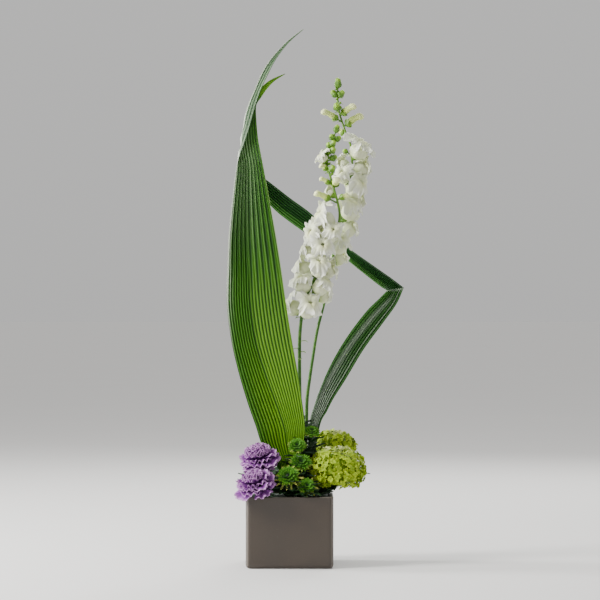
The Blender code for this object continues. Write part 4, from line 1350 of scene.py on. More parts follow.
            # tint is a random amount of painted shade for each floret.
            phase, tint, bend = draw.uniform(0, FULL_TURN), draw.uniform(0.0, 0.4), draw.uniform(0.15, 0.7)
            grid, along, around, warm = self.floret(width * self.floret_flare,
                                                    length * self.floret_stretch, phase, bend)
            grid = turned_about_z(grid.reshape(-1, 3), draw.uniform(-0.4, 0.4))
            bottom = placed(np.array([[0.0, 0.0, -0.3]]), seat, way)
            ring = np.arange(0, self.floret_sides, 2)
            hub = np.full_like(ring, len(grid))
            fan = np.stack([hub, (ring + 2) % self.floret_sides, ring + 1, ring], -1)
            faces = np.concatenate([grid_faces(*along.shape, closed=True), fan])
            shape = Shape()
            shape.sheet(np.concatenate([placed(grid, seat, way), bottom]), faces, PETAL_THICKNESS,
                        along=np.append(along, 0.0), across=np.append(around, 0.0) * 2,
                        warm=np.append(warm * 0.75, 0.0), tint=tint)
            name = f"{self.label}_floret_{number:02d}"
            shape.stand_for(name, f"white_{name}", "white_petal", WHITE_PETAL)

    def build_cream_buds(self) -> None:
        """Build and dress each cream bud: a closed floret, its blunt tip bent away from the stem."""
        turn = turns(24)
        profile = profile_of((0.5, -0.03), (0.80, 0.14), (0.98, 0.32), (0.88, 0.5), (0.86, 0.66),
                             (1.04, 0.8), (0.88, 0.93), (0.2, 1.0))
        share = profile[:, 1]
        cleft = 1 - 0.2 * np.exp(-((turn - math.pi) / 0.3) ** 2) + 0.06 * np.cos(2 * turn)
        for number, (_, seat, way, length, radius) in enumerate(
                self.bud_seats(self.cream_buds, self.bud_drop), 1):
            rings = placed(turned_rings(profile * (radius, length), len(turn), cleft), seat, way)
            out = unit(way * (1, 1, 0)) - way * 0.5
            bend = 0.16 * length * smoothstep(0.45, 1.05, share) - 0.05 * length * np.sin(math.pi * share)
            shape = Shape()
            shape.loft(rings + bend[:, None, None] * out, along=share, across=share * 0.5,
                       warm=0.35 * smoothstep(0.4, 0.9, share))
            name = f"{self.label}_bud_{number:02d}"
            shape.stand_for(name, f"cream_{name}", "cream_bud", CREAM_BUD)

    def add_calyx(self, shape: Shape, start: Array, seat: Array, way: Array, size: float) -> None:
        """Add a flower stalk that opens into a cup of five pointed sepals.

        Args:
            shape: The growing piece.
            start: Where the stalk leaves the stem.
            seat: Where the flower sits.
            way: The way of the stalk.
            size: Scale of the cup.
        """
        points = np.abs(np.cos(2.5 * turns(self.calyx_sides))) ** 0.8
        stalk = np.linalg.norm(seat - start)
        floor = self.cup_floor
        rise = (self.cup_height - floor) * (0.3 + 0.75 * points)
        rings = list(turned_rings([(1.35, -stalk), (1.05, -0.75 * stalk), (1.1, floor - 3.0),
                                   (2.1 * size, floor - 1.6), (3.6 * size, floor - 0.4)], self.calyx_sides))
        for scale, radius in ((0.5, 4.7), (1.0, 5.2), (1.02, 4.7), (0.5, 4.1), (0.0, 3.0)):
            ring = turned_rings([(radius * size, 0)], self.calyx_sides)[0]
            ring[:, 2] = floor + rise * scale
            rings.append(ring)
        tint = [0.15, 0.2, 0.25, 0.3, 0.35, 0.45, 0.6, 0.5, 0.4, 0.3]
        shape.loft(placed(np.array(rings), seat, way), tint=tint)

    def add_bract(self, shape: Shape, start: Array, way: Array, size: float) -> None:
        """Add the small leaf at the foot of a flower stalk.

        Args:
            shape: The growing piece.
            start: Where the stalk leaves the stem.
            way: The way of the stalk.
            size: Scale of the leaf.
        """
        bract = Petal(7.5 * size, 3.4 * size, Outline.OVATE, 10, -35, neck=0.5, cup=0.3)
        grid, along, _ = bract.grid(*self.bract_grid)
        out = unit(way * (1, 1, 0.1))
        local = grid @ np.array([out, np.cross((0, 0, 1), out), (0, 0, 1)])
        shape.blade(start + way * 1.6 + local - (0, 0, 0.8), 0.4, tint=0.25 + 0.3 * along)

    def add_crowd(self, shape: Shape) -> None:
        """Add the crowd of bracts and bud tips where the spike has not opened yet.

        Args:
            shape: The growing piece.
        """
        profile = profile_of((0.5, -0.3), (1.0, 0.3), (0.7, 0.7), (0.15, 1.0))
        low, top = self.crowded
        for i in range(self.crowd):
            height = low + (top - low) * (i + 0.5) / self.crowd
            start, _ = self.start_below(np.array([0.0, 0.0, height]), 0.0)
            angle = GOLDEN_ANGLE * i
            way = unit(np.array([math.cos(angle), math.sin(angle), 0.7]))
            size = 1 - 0.35 * i / self.crowd
            shape.turned(profile * (2.3 * size, 5.2 * size), 12, start + way * 1.6, way,
                         tint=0.3 + 0.5 * profile[:, 1])
            self.add_bract(shape, start, way, 1.1 * size)

    def add_green_buds(self, shape: Shape) -> None:
        """Add the green buds, each grown on its stalk with a bract.

        Args:
            shape: The growing piece.
        """
        profile = profile_of((0.4, -0.05), (0.9, 0.12), (1.06, 0.36), (0.86, 0.58), (0.78, 0.72),
                             (0.62, 0.88), (0.12, 1.0))
        turn = turns(20)
        tint = np.concatenate([[0.2, 0.25], 0.25 + 0.75 * smoothstep(0.45, 0.9, profile[:, 1])])
        for start, seat, way, length, radius in self.bud_seats(self.green_buds, self.green_bud_drop):
            bud = turned_rings(profile * (1.2 * radius, length), len(turn), 1 + 0.12 * np.cos(5 * turn))
            reach = max(float((seat - start) @ way), 0.5)
            stalk = turned_rings([(0.95, -reach), (0.9, -0.4 * reach)], len(turn))
            shape.loft(placed(np.concatenate([stalk, bud]), seat, way), tint=tint)
            self.add_bract(shape, start, way, 1.1)

    def build_stem(self) -> None:
        """Build and dress the stem with all that is green on it."""
        shape = Shape()
        route = np.concatenate([[self.root], np.array(self.route, float)])
        radii = self.radii[0] + (self.radii[1] - self.radii[0]) * (np.arange(len(route)) / (len(route) - 1))
        dense = smooth(np.column_stack([route, radii]), 10)
        shape.loft(rings_along(dense[:, :3], dense[:, 3], self.stem_sides),
                   tint=0.08 + 0.3 * smoothstep(350, 620, dense[:, 2]))
        for start, seat, way, width, _ in self.floret_seats():
            self.add_calyx(shape, start, seat, way, 1.0)
            self.add_bract(shape, start, way, 0.6 + width / 60)
        for start, seat, way, _, radius in self.bud_seats(self.cream_buds, self.bud_drop):
            self.add_calyx(shape, start, seat, way, radius / 4.2)
            self.add_bract(shape, start, way, 0.8)
        self.add_green_buds(shape)
        self.add_crowd(shape)
        low, draw = np.array(self.route[0], float), chance(len(self.label), 11)
        for start, end, count, longest in self.undergrowth:
            ends = low + (0, 0, start), low + (0, 0, end)
            add_undergrowth(shape, self.leaf_slot, *ends, count, draw, longest, self.leafy)
        for i, height in enumerate(self.scars):
            start, _ = self.start_below(np.array([0.0, 0.0, height]), 0.0)
            self.add_bract(shape, start, np.array([math.cos(2.6 * i), -0.4, 0.6]), 1.5)
        shape.stand_for(f"{self.label}_stem", f"{self.label}_green_stem", "stem", STEM, BROAD_LEAF)

    def build(self) -> None:
        """Build and dress the whole spike."""
        self.build_stem()
        self.build_florets()
        self.build_cream_buds()


def petal_turn(number: int, count: int, level: int, shift: float) -> float:
    """Angle of a petal of a layer, where every second layer is set half a petal on."""
    return FULL_TURN * (number + 0.5 * (level % 2) + shift) / count


@dataclass
class Carnation:
    """Carnation head of frilled petals, with its stem and calyx tube."""

    label: str
    centre: Triple
    facing: Triple
    radius: float
    root: tuple[float, float]
    calyx: float
    # Layers from the outside in: petals, length, rise at root and tip, ruffle, height of the root.
    layers: tuple[tuple[int, float, float, float, float, float], ...] = (
        (8, 1.02, 24, -28, 2.4, -1.5), (9, 0.98, 42, -10, 2.6, 0.0), (9, 0.92, 56, 8, 2.8, 1.5),
        (9, 0.86, 68, 26, 2.8, 3.0), (8, 0.80, 76, 44, 2.8, 4.5), (8, 0.74, 84, 58, 2.6, 6.0),
        (7, 0.68, 90, 74, 2.4, 7.5))
    calyx_drop: float = 4.35
    calyx_sides: int = 30
    petal_grid: tuple[int, int] = (9, 28)
    leaf_slot: int = 1
    stem_radii: tuple[float, float] = (2.4, 2.2)
    stem_sides: int = 14
    # Drooping petals below the layers, and their form.
    skirt: int = 0
    skirt_form: tuple[float, ...] = (0.86, 0.0, -60.0, 2.4, -2.0)
    # Small leaves on its stem: how many, the longest one, and the ways that they point.
    leaf_count: int = 16
    longest_leaf: float = 31.0
    leafy: tuple[float, float] = (-1.3, 1.6)

    def build_head(self) -> None:
        """Build and dress the head."""
        draw = chance(len(self.label), 7)
        shape = Shape()
        layers = ((self.skirt, *self.skirt_form), *self.layers)
        for level, (count, length, rise_root, rise_tip, ruffle, height) in enumerate(layers):
            for i in range(count):
                size = length * self.radius * draw.uniform(0.84, 1.06)
                petal = Petal(size, size * draw.uniform(0.8, 1.1), Outline.FAN,
                              rise_root + draw.uniform(-12, 12), rise_tip + draw.uniform(-26, 22), neck=0.2,
                              cup=draw.uniform(-0.25, 0.4), ruffle=ruffle * draw.uniform(0.7, 1.4),
                              waves=draw.uniform(2.0, 3.8), teeth=9, tooth_depth=1.8)
                grid, along, across = petal.grid(*self.petal_grid, draw.uniform(0, FULL_TURN))
                turn = petal_turn(i, count, level, draw.uniform(-0.35, 0.35))
                # Each petal gets a random amount of painted shade.
                shape.petal(grid + np.array([2.0, 0, height]), turn, self.centre, self.facing, along=along,
                            across=across, tint=draw.uniform(0.0, 0.8), warm=0.2 * along ** 6)
        # The core is painted in shade, deep in the head.
        core = profile_of((2.4, -4.0), (5.0, 0.0), (5.4, 7.0), (2.0, 13.0))
        shape.turned(core, 16, self.centre, self.facing, along=0.1, tint=0.8)
        node = f"carnation_{self.label}"
        shape.stand_for(node, f"{node}_head", "lilac_petal", LILAC_PETAL)

    def add_calyx(self, shape: Shape) -> None:
        """Add the calyx tube with its five teeth.

        Args:
            shape: The growing piece.
        """
        gap = 1 - np.abs(np.cos(2.5 * turns(self.calyx_sides))) ** 0.7
        profile = profile_of((2.4, 1.0), (4.4, 0.85), (5.4, 0.45), (6.0, 0.12))
        tube = profile * (1, -self.calyx) - (0, self.calyx_drop)
        rings = list(turned_rings(tube, self.calyx_sides))
        for radius, share, lift in ((6.1, 0.0, 0.6), (5.6, 0.0, 0.6), (5.0, -0.12, 0.0)):
            ring = turned_rings([(radius, -self.calyx_drop)], self.calyx_sides)[0]
            ring[:, 2] += share * self.calyx - 2.2 * gap + lift
            rings.append(ring)
        shape.loft(placed(np.array(rings), self.centre, self.facing),
                   tint=np.linspace(0.2, 0.45, len(rings)))

    def build_stem(self) -> None:
        """Build and dress the stem with its calyx tube and leaves."""
        shape = Shape()
        low = foot_of(self.root)
        tail = np.array(self.centre, float) - unit(np.array(self.facing, float)) * (
            self.calyx_drop + 0.8 * self.calyx)
        bend = low + (tail - low) * 0.6 + (0, 0, 1)
        shape.tube([low - (0, 0, ROOT_DEPTH), low, bend, tail], self.stem_radii, self.stem_sides,
                   tint=0.15)
        self.add_calyx(shape)
        add_undergrowth(shape, self.leaf_slot, low, tail, self.leaf_count,
                        chance(len(self.label), 13), self.longest_leaf, self.leafy)
        node = f"carnation_{self.label}_stem"
        shape.stand_for(node, f"{node}_green", "stem", STEM, BROAD_LEAF)

    def build(self) -> None:
        """Build and dress the flower."""
        self.build_head()
        self.build_stem()


@dataclass(frozen=True)
class BroadLeaf:
    """Ovate leaf with a toothed edge, a rib and side veins."""

    start: Triple
    direction: Triple
    length: float
    width: float
    droop: float
    side_veins: int = 7
    fold: float = 0.25
    rows: int = 33
    columns: int = 17
    teeth: int = 14

    def add(self, shape: Shape, slot: int = 0, tint: float = 0.0) -> None:
        """Add the leaf to a piece.

        Args:
            shape: The growing piece.
            slot: Which of its finishes the leaf has.
            tint: How light the leaf is.
        """
        share, across = np.linspace(0, 1, self.rows), np.linspace(-1, 1, self.columns)
        t, v = np.meshgrid(share, across, indexing="ij")
        outline = np.sin(math.pi * t ** 0.8) + 0.05 * (1 - t)
        teeth = 1 - 0.09 * ((t * self.teeth - 0.3 * np.abs(v)) % 1.0) * np.abs(v) ** 3
        half = 0.48 * self.width * outline * teeth
        vein = np.abs(((t * (self.side_veins + 1.5) - 1.5 * np.abs(v)) % 1.0) - 0.5) * 2
        ridge = np.maximum(smoothstep(0.82, 1.0, vein) * 0.8, np.exp(-(v / 0.05) ** 2))
        ridge = ridge * smoothstep(0.0, 0.05, t) * (1 - 0.6 * t)
        side, up, forward = axes_for(self.direction)
        lift = (self.fold * half * np.abs(v) - self.droop * t * t + 0.35 * np.sin(vein * math.pi)
                * smoothstep(0.1, 0.6, np.abs(v)) - 0.3 * np.exp(-(v / 0.08) ** 2))
        grid = (np.array(self.start, float) + t[..., None] * self.length * forward
                + (half * v)[..., None] * side + lift[..., None] * up)
        shape.blade(grid, LEAF_THICKNESS, slot, vein=ridge, tint=tint + 0.25 * t)


def add_undergrowth(shape: Shape, slot: int, low: Array, top: Array, count: int,
                    draw: np.random.Generator, longest: float = 29.0,
                    ways: tuple[float, float] = (0.0, FULL_TURN)) -> None:
    """Add small dark leaves along the lower part of a stem.

    Args:
        shape: The piece that they belong to.
        slot: Which of its finishes they have.
        low: Foot of the stem.
        top: Upper end of the leafy part.
        count: How many leaves.
        draw: Source of chance.
        longest: Length of the longest leaf.
        ways: First and last way that they point, in radians from +X.
    """
    for i in range(count):
        angle = ways[0] + (GOLDEN_ANGLE * i / FULL_TURN % 1.0) * (ways[1] - ways[0])
        rise = draw.uniform(0.25, 1.0) * (1 - 0.5 * max(0.0, -math.sin(angle)))
        length = draw.uniform(0.55, 1.0) * longest
        start = low + (top - low) * (i + 0.3) / count + (0, 0, 1.5)
        leaf = BroadLeaf(start, (math.cos(angle), math.sin(angle), rise), length, length * 0.52,
                         0.16 * length, side_veins=4, rows=13, columns=7)
        leaf.add(shape, slot, draw.uniform(0.0, 0.4))


@dataclass
class Hydrangea:
    """Round head of four-sepalled florets, and its stem with a broad leaf."""

    label: str
    centre: Triple
    half: Triple
    florets: int
    route: tuple[Triple, ...]
    seat_offset: float
    leaf: BroadLeaf
    stand: float = 6.5
    sepal_length: float = 4.9
    cover: float = 0.88
    sepal_grid: tuple[int, int] = (5, 5)
    core_rows: int = 22
    core_sides: int = 36
    stem_radii: tuple[float, float] = (3.0, 2.2)
    stem_sides: int = 16
    root_height: float = 58.0
    leaf_count: int = 24

    def add_core(self, shape: Shape) -> None:
        """Add the lumpy body that the florets stand on.

        Args:
            shape: The growing piece.
        """
        polar = np.linspace(0.06, math.pi - 0.06, self.core_rows)[:, None]
        turn = turns(self.core_sides)
        lumps = 1 + 0.04 * np.sin(5 * turn) * np.sin(3 * polar)
        core = np.stack([np.sin(polar) * np.cos(turn) * self.half[0] * lumps,
                         np.sin(polar) * np.sin(turn) * self.half[1] * lumps,
                         np.broadcast_to(-np.cos(polar) * self.half[2], lumps.shape)], -1)
        # Painted shade: the body is darker than the florets, as the gaps between them.
        shape.loft(np.array(self.centre, float) + core * 0.97, along=0.2, tint=0.6)

    def build_head(self) -> None:
        """Build and dress the head."""
        draw = chance(len(self.label), 3)
        shape = Shape()
        self.add_core(shape)
        middle, half = np.array(self.centre, float), np.array(self.half, float)
        for i in range(self.florets):
            height = 1 - 2 * self.cover * (i + 0.5) / self.florets
            around = math.sqrt(1 - height * height)
            angle = GOLDEN_ANGLE * i + draw.uniform(-0.1, 0.1)
            way = np.array([around * math.cos(angle), around * math.sin(angle), height])
            normal = unit(way / half)
            spot = middle + way * half + normal * (self.stand + draw.uniform(-4.0, 1.8))
            facing = unit(normal + draw.normal(0, 0.45, 3))
            # Painted shade: a random amount for each floret, and more on the underside of the head.
            tint = float(np.clip(draw.normal(0.25, 0.32), 0, 1)) + 0.25 * max(0.0, -height)
            warm = 0.85 * smoothstep(0.72, 0.95, np.array(height)) * draw.uniform(0, 1) ** 1.5
            self.add_floret(shape, spot, facing, draw, tint, float(warm))
        node = f"hydrangea_{self.label}"
        shape.stand_for(node, f"{node}_head", "lime_sepal", LIME_SEPAL)

    def add_floret(self, shape: Shape, spot: Array, facing: Array, draw: np.random.Generator,
                   tint: float, warm: float) -> None:
        """Add one floret of four sepals round a bead, with its stalk.

        Args:
            shape: The growing piece.
            spot: Its middle.
            facing: The way that it faces.
            draw: Source of chance.
            tint: How much painted shade it has.
            warm: How pale it is.
        """
        spin = draw.uniform(0, math.pi / 2)
        for i in range(4):
            length = self.sepal_length * draw.uniform(0.85, 1.12)
            sepal = Petal(length, length * draw.uniform(0.95, 1.12), Outline.ROUND, draw.uniform(10, 48),
                          draw.uniform(-50, 8), neck=0.3, cup=draw.uniform(-0.5, 0.4),
                          ruffle=draw.uniform(0.2, 0.6), waves=2.0)
            grid, along, across = sepal.grid(*self.sepal_grid, draw.uniform(0, 6))
            turn = spin + i * math.pi / 2 + draw.uniform(-0.12, 0.12)
            shape.petal(grid, turn, spot, facing, (0, 1, 0.2), along=0.2 + 0.8 * along, across=across,
                        tint=tint, warm=warm)
        shape.turned([(0.5, -0.6), (0.9, 0.1), (0.7, 0.8), (0.2, 1.1)], 6, spot, facing,
                     along=0.35, tint=0.2, warm=warm)
        shape.turned([(0.5, -self.stand - 1.5), (0.45, -0.5)], 4, spot, facing, along=0.4, tint=0.2)

    def build_stem(self) -> None:
        """Build and dress the stem with its leaf."""
        shape = Shape()
        first = np.array(self.route[0], float)
        top = np.array(self.centre, float) + (self.seat_offset, 0, -self.half[2] * math.cos(math.pi / 8))
        root = first - (0, 0, first[2] - self.root_height)
        shape.tube([root, *self.route, top], self.stem_radii, self.stem_sides, tint=0.4)
        self.leaf.add(shape)
        add_undergrowth(shape, 0, first, top - (0, 0, 6), self.leaf_count, chance(len(self.label)))
        node = f"hydrangea_{self.label}_stem"
        shape.stand_for(node, f"{node}_leafy", "dark_leaf", BROAD_LEAF)

    def build(self) -> None:
        """Build and dress the flower."""
        self.build_head()
        self.build_stem()


@dataclass
class Chrysanthemum:
    """Green button chrysanthemum with a dark eye, on a leafy stem."""

    label: str
    centre: Triple
    facing: Triple
    radius: float
    root: tuple[float, float]
    leaves: tuple[tuple[Triple, float, float], ...]
    # Layers of rays from the outside in: count, length, rise at root and tip.
    layers: tuple[tuple[int, float, float, float], ...] = (
        (26, 1.02, -4, 14), (24, 0.92, 12, 24), (20, 0.76, 30, 34), (16, 0.58, 50, 48))
    # Longer pale rays below the layers, and their form.
    pale_rays: int = 0
    pale_form: tuple[float, ...] = (1.3, -14.0, -2.0)
    ray_width: float = 3.1
    ray_grid: tuple[int, int] = (9, 5)
    stem_radii: tuple[float, float] = (1.9, 1.7)
    stem_sides: int = 12
    eye_size: float = 0.24
    knobs: int = 34
    leaf_count: int = 30
    green_slot: int = 1
    leaf_slot: int = 2

    def add_rays(self, shape: Shape, draw: np.random.Generator) -> None:
        """Add the ray petals.

        Args:
            shape: The growing piece.
            draw: Source of chance.
        """
        for level, (count, length, rise_root, rise_tip) in enumerate(
                ((self.pale_rays, *self.pale_form), *self.layers)):
            for i in range(count):
                size = length * self.radius * draw.uniform(0.88, 1.04)
                ray = Petal(size, self.ray_width, Outline.STRAP, rise_root + draw.uniform(-6, 6),
                            rise_tip + draw.uniform(-10, 12), neck=0.45, cup=0.45)
                grid, along, across = ray.grid(*self.ray_grid)
                turn = petal_turn(i, count, level, draw.uniform(-0.2, 0.2))
                warm = (0.9, 0.5 * draw.uniform(0, 1) ** 2, 0, 0, 0)[level] * smoothstep(0.4, 0.9, along)
                # Each ray gets a random amount of painted shade.
                shape.petal(grid + np.array([0.6, 0, 0.5 * level - 0.8]), turn, self.centre, self.facing,
                            along=along, across=across, tint=draw.uniform(0, 0.7), warm=warm)

    def add_eye(self, shape: Shape) -> None:
        """Add the dark eye of small florets.

        Args:
            shape: The growing piece.
        """
        size = self.eye_size * self.radius
        dome = profile_of((0.8, -0.5), (1.0, 0.4), (0.8, 0.95), (0.15, 1.2)) * (size, size)
        shape.turned(dome, 16, self.centre, self.facing, self.green_slot, tint=0.1)
        for i in range(self.knobs):
            reach, angle = size * math.sqrt((i + 0.5) / self.knobs), GOLDEN_ANGLE * i
            spot = np.array([reach * math.cos(angle), reach * math.sin(angle),
                             size * (1.15 - 0.35 * i / self.knobs)])
            knob = turned_rings([(0.35, -1.2), (0.5, 0.2), (0.3, 0.9)], 6) + spot
            shape.loft(placed(knob, self.centre, self.facing), self.green_slot,
                       tint=0.2 + 0.5 * (i % 3 == 0))

    def build(self) -> None:
        """Build and dress the flower."""
        draw = chance(*self.label.encode())
        shape = Shape()
        self.add_rays(shape, draw)
        self.add_eye(shape)
        low, forward = foot_of(self.root), unit(np.array(self.facing, float))
        tail = np.array(self.centre, float) - forward * self.radius * 0.35
        bend = low + (tail - low) * 0.6 + (0, 0, 2)
        shape.tube([low - (0, 0, ROOT_DEPTH), low, bend, tail, self.centre], self.stem_radii,
                   self.stem_sides, self.green_slot, tint=0.4)
        cup = profile_of((1.8, -0.5), (3.2, -0.3), (4.2, -0.12)) * (1, self.radius)
        shape.turned(cup, 16, self.centre, self.facing, self.green_slot, tint=0.5)
        for direction, length, width in self.leaves:
            start = low + (bend - low) * 0.8
            leaf = BroadLeaf(start, direction, length, width, 0.1 * length)
            leaf.add(shape, self.leaf_slot, draw.uniform(0, 0.3))
        add_undergrowth(shape, self.leaf_slot, low, tail - forward * 4, self.leaf_count, draw)
        node = f"chrysanthemum_{self.label}"
        shape.stand_for(node, f"{node}_flower", "button_petal", GREEN_RAY, BUTTON_EYE, BROAD_LEAF)


@dataclass
class CoverSprig:
    """Short sprig of broad leaves that hides the foam."""

    label: str
    root: tuple[float, float]
    height: float
    leaves: tuple[tuple[Triple, float, float], ...]
    stem_radii: tuple[float, float] = (2.4, 2.0)
    stem_sides: int = 14
    leaf_count: int = 34
    longest_leaf: float = 42.0

    def build(self) -> None:
        """Build and dress the sprig."""
        shape = Shape()
        low = foot_of(self.root)
        top = low + (0, 0, self.height)
        shape.tube([low - (0, 0, ROOT_DEPTH), low, top], self.stem_radii, self.stem_sides, steps=6,
                   tint=0.4)
        for i, (direction, length, width) in enumerate(self.leaves):
            start = low + (top - low) * (i + 0.7) / len(self.leaves)
            BroadLeaf(start, direction, length, width, 0.18 * length).add(shape, tint=0.1 * i)
        add_undergrowth(shape, 0, low, top + (0, 0, 8), self.leaf_count, chance(len(self.label), 5),
                        self.longest_leaf)
        node = f"cover_leaves_{self.label}"
        shape.stand_for(node, f"{node}_sprig", "dark_leaf", BROAD_LEAF)


@dataclass
class Holder:
    """Vase and foam, which are the model's own nodes."""

    vase: str = "vase"
    foam: str = "floral_foam"

    def dress(self) -> None:
        """Give both nodes their finishes."""
        for node, finish in ((self.vase, GLAZE), (self.foam, WET_FOAM)):
            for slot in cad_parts[node].material_slots:
                slot.material = finish.material()
            log.info("%s: dressed", node)


@dataclass
class Studio:
    """Floor, soft lights and the camera."""

    floor_half: float = 40.0
    floor_points: int = 9
    far_clip: float = 200.0
    focal_px: float = 2463.0
    image_px: float = 600.0
    sensor_mm: float = 36.0
    camera_at: Triple = (0.0148, -3.56, 0.382)
    # Lights: place, aim, width, height, power, colour.
    lights: tuple[tuple[Triple, Triple, float, float, float, Colour], ...] = (
        ((-1.9, -0.8, 1.5), (0.0, 0.0, 0.35), 0.7, 1.0, 92.0, (1.0, 0.985, 0.96)),
        ((-2.2, 0.3, 1.0), (0.0, 0.0, 0.35), 0.4, 1.2, 80.0, (1.0, 1.0, 0.98)),
        ((0.5, 1.7, 1.5), (0.0, 0.0, 0.4), 1.0, 1.2, 30.0, (1.0, 1.0, 0.97)))
    world_colour: Colour = (0.80, 0.795, 0.785)
    world_strength: float = 0.72
    # With this rise toward the zenith the far floor is as bright as the horizon.
    world_rise: float = 0.6

    def build_floor(self) -> None:
        """Build the floor."""
        side = np.linspace(-self.floor_half, self.floor_half, self.floor_points) / MM
        x, y = np.meshgrid(side, side)
        shape = Shape()
        shape.add(np.stack([x, y, np.zeros_like(x)], -1), [grid_faces(self.floor_points, self.floor_points)])
        shape.piece("studio_floor", [PALE_FLOOR])

    def build_lights(self) -> None:
        """Hang the soft lights and light the surroundings."""
        for number, (place, aim, width, height, power, colour) in enumerate(self.lights, 1):
            lamp = bpy.data.lights.new(f"soft_light_{number}", "AREA")
            lamp.shape, lamp.size, lamp.size_y = "RECTANGLE", width, height
            lamp.energy, lamp.color = power, colour
            item = bpy.data.objects.new(lamp.name, lamp)
            axes = axes_for(np.array(place, float) - np.array(aim, float))
            item.matrix_world = Matrix([(*axes[:, row], place[row]) for row in range(3)] + [(0, 0, 0, 1)])
            bpy.context.scene.collection.objects.link(item)
        paint = Paint(bpy.data.worlds.new("soft_surroundings"))
        rise = paint.parts(paint.place("Generated"))[2].math("MAXIMUM", 0.0)
        strength = rise * (self.world_strength * self.world_rise) + self.world_strength
        sky = paint.node("ShaderNodeBackground", {}, {"Color": self.world_colour, "Strength": strength})
        paint.node("ShaderNodeOutputWorld", {}, {"Surface": sky.outputs[0]})
        bpy.context.scene.world = paint.owner

    def build_camera(self) -> None:
        """Set up the camera, level and looking along +Y."""
        lens = bpy.data.cameras.new("camera")
        lens.lens = self.focal_px / self.image_px * self.sensor_mm
        lens.sensor_width = self.sensor_mm
        lens.clip_end = self.far_clip
        camera = bpy.data.objects.new("camera", lens)
        camera.location = self.camera_at
        camera.rotation_euler = (math.pi / 2, 0, 0)
        bpy.context.scene.collection.objects.link(camera)
        bpy.context.scene.camera = camera

    def build(self) -> None:
        """Build all of it."""
        self.build_floor()
        self.build_lights()
        self.build_camera()


FRONT_SPIKE = Snapdragon(
    "snapdragon_front",
    route=((15, 2, 98), (15, 2, 194), (14, 1, 287), (15, 0, 339), (22, -2, 382), (34, -3, 408),
           (47, -5, 447), (62, -6, 471), (70, -7, 490), (72, -8, 505), (70, -8, 519), (65, -9, 538),
           (58, -10, 561), (54, -10, 579), (59, -10, 605), (66, -10, 624)),
    radii=(3.0, 1.1), root=(15, 2, 58),
    florets=((-4, -2, 381, 32), (31, -30, 376, 32), (14, -18, 413, 32), (55, -18, 408, 31),
             (57, 19, 392, 26), (13, 4, 436.5, 31), (45, -43, 433, 31), (64, 14, 430, 28),
             (20, -4, 460.5, 26), (48, -36, 460.5, 29), (29, -27, 480, 30), (42, -18, 507, 34),
             (34, 7, 489, 28), (62, -36, 480, 25), (44, -14, 591, 20), (54, 2, 541, 18)),
    cream_buds=((37, -18, 537, 22, 4.8), (68, -30, 556, 17, 5.2), (44, -12, 558, 14, 3.6),
                (44, -13, 577, 11, 4.2), (84, -11, 534, 11, 4.0)),
    green_buds=((70, -10, 635, 12, 3.6), (59, -12, 621, 9, 3.4), (74, -10, 617, 9, 3.4),
                (55, -14, 609, 9, 3.6), (65, -18, 611, 10, 4.0), (51, -8, 600, 9, 3.6),
                (65, -18, 601, 10, 4.2), (68, -8, 590, 10, 4.0), (64, -18, 575, 11, 4.2)),
    leafy=(-0.4, 2.2), scars=(322, 311, 306, 296, 356))
BACK_SPIKE = Snapdragon(
    "snapdragon_back",
    route=((19, 17, 98), (22, 19, 150), (24, 20, 193), (25, 21, 237), (29, 22, 269), (34, 24, 302),
           (40, 27, 338), (51, 32, 383), (60, 38, 433), (70, 43, 477), (81, 46, 528), (88, 46, 561),
           (91, 46, 580), (89, 45, 607), (82, 44, 626), (76, 43, 644), (72, 42, 658), (70, 41, 676),
           (70, 40, 692)),
    radii=(2.9, 1.1), root=(18, 16, 58),
    florets=((108, 36, 611, 37), (112, 62, 583, 34), (104, 30, 554, 34), (103, 62, 536, 30),
             (96, 24, 520, 33), (95, 50, 494, 31), (77, 14, 468, 30), (76, 58, 450, 28),
             (74, 26, 567, 24), (73, 54, 587, 20), (89, 80, 512, 30), (92, 84, 562, 28)),
    cream_buds=((48, 34, 659, 24, 5.0), (94, 32, 667, 22, 5.2), (105, 46, 654, 26, 5.8),
                (72, 58, 632, 14, 4.6)),
    green_buds=((70, 40, 707, 15, 4.2), (60, 40, 688, 12, 4.0), (79, 38, 688, 12, 4.0),
                (67, 30, 668, 12, 4.8), (78, 34, 601, 8, 3.0)),
    crowded=(652.0, 690.0), crowd=13)
CARNATIONS = (Carnation("upper", (-42.5, -30, 149.5), (-0.16, -0.22, 0.95), 29.0, (-30, -14), 20.0, skirt=9),
              Carnation("lower", (-46.5, -58, 114), (-0.26, -0.38, 0.9), 31.0, (-41, -45), 8.0))
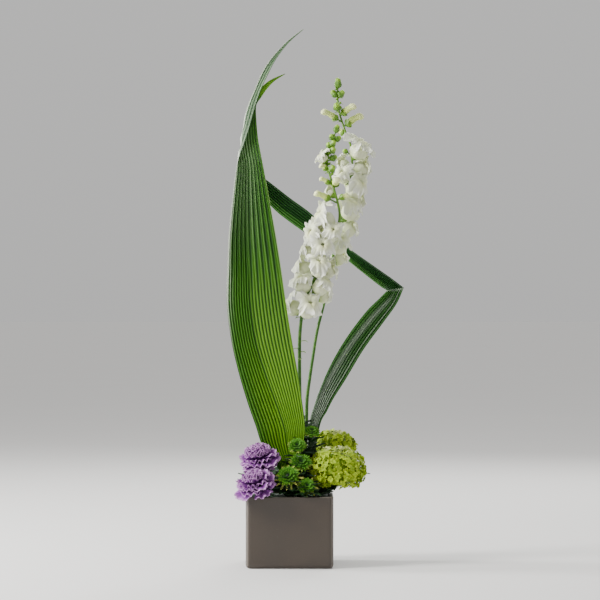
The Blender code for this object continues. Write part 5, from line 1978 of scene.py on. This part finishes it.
HYDRANGEAS = (
    Hydrangea("front", (68, -12, 138), (34, 31, 25), 300, ((42, -12, 99), (51, -12, 104.8), (58, -12, 107)),
              -9.0, BroadLeaf((46.5, -12, 102.4), (-0.3, -1.0, 0.08), 44.0, 30.0, 3.0)),
    Hydrangea("back", (66, 50, 167), (24, 21, 17), 155, ((46, 38, 98), (56, 44, 120), (63, 47.5, 138)),
              -3.4, BroadLeaf((58, 45, 125), (1.0, 0.1, 0.14), 60.0, 30.0, 6.0)))
CHRYSANTHEMUMS = (
    Chrysanthemum("low", (-2, -54, 131), (-0.15, -0.8, 0.55), 17.0, (-3, -44),
                  (((-0.9, -0.5, 0.05), 30.0, 18.0), ((0.25, -1.0, 0.0), 27.0, 18.0)), pale_rays=15),
    Chrysanthemum("mid", (16, -36, 149), (0.1, -0.7, 0.7), 17.0, (11, -28),
                  (((-0.9, -0.3, 0.1), 22.0, 13.0), ((0.85, -0.35, 0.6), 22.0, 13.0))),
    Chrysanthemum("high", (11, -24, 172), (-0.1, -0.7, 0.7), 14.0, (5, -18),
                  (((-1.0, 0.0, 0.2), 24.0, 14.0),)),
    Chrysanthemum("top", (31.5, -4, 191.2), (0.1, -0.6, 0.8), 12.5, (21, 9),
                  (((-0.35, -0.5, 0.85), 22.0, 10.0),)),
    Chrysanthemum("side", (24, -55, 117), (0.2, -0.8, 0.55), 14.0, (21, -47),
                  (((0.9, -0.75, 0.0), 30.0, 18.0), ((-0.7, -0.8, 0.0), 22.0, 14.0)), pale_rays=7))
COVER_SPRIGS = (
    CoverSprig("left", (-34, 22), 16.0, (((-0.15, 0.3, 1.0), 50.0, 42.0), ((0.4, 0.45, 1.0), 46.0, 38.0),
                                         ((-0.8, 0.1, 0.6), 46.0, 36.0), ((-0.6, -0.8, 0.6), 30.0, 26.0))),
    CoverSprig("right", (8, 46), 14.0, (((-0.3, 0.15, 1.0), 44.0, 36.0), ((0.4, 0.1, 1.0), 42.0, 34.0),
                                        ((0.2, 1.0, 0.25), 44.0, 36.0))))


def main() -> None:
    """Build the arrangement and the studio, piece by piece."""
    logging.basicConfig(level=logging.INFO, format="%(name)s: %(message)s")
    Studio().build()
    Holder().dress()
    TallLeaf().build()
    FoldedLeaf().build()
    for group in ((FRONT_SPIKE, BACK_SPIKE), CARNATIONS, HYDRANGEAS, CHRYSANTHEMUMS, COVER_SPRIGS):
        for member in group:
            member.build()


if __name__ == "__main__":
    main()
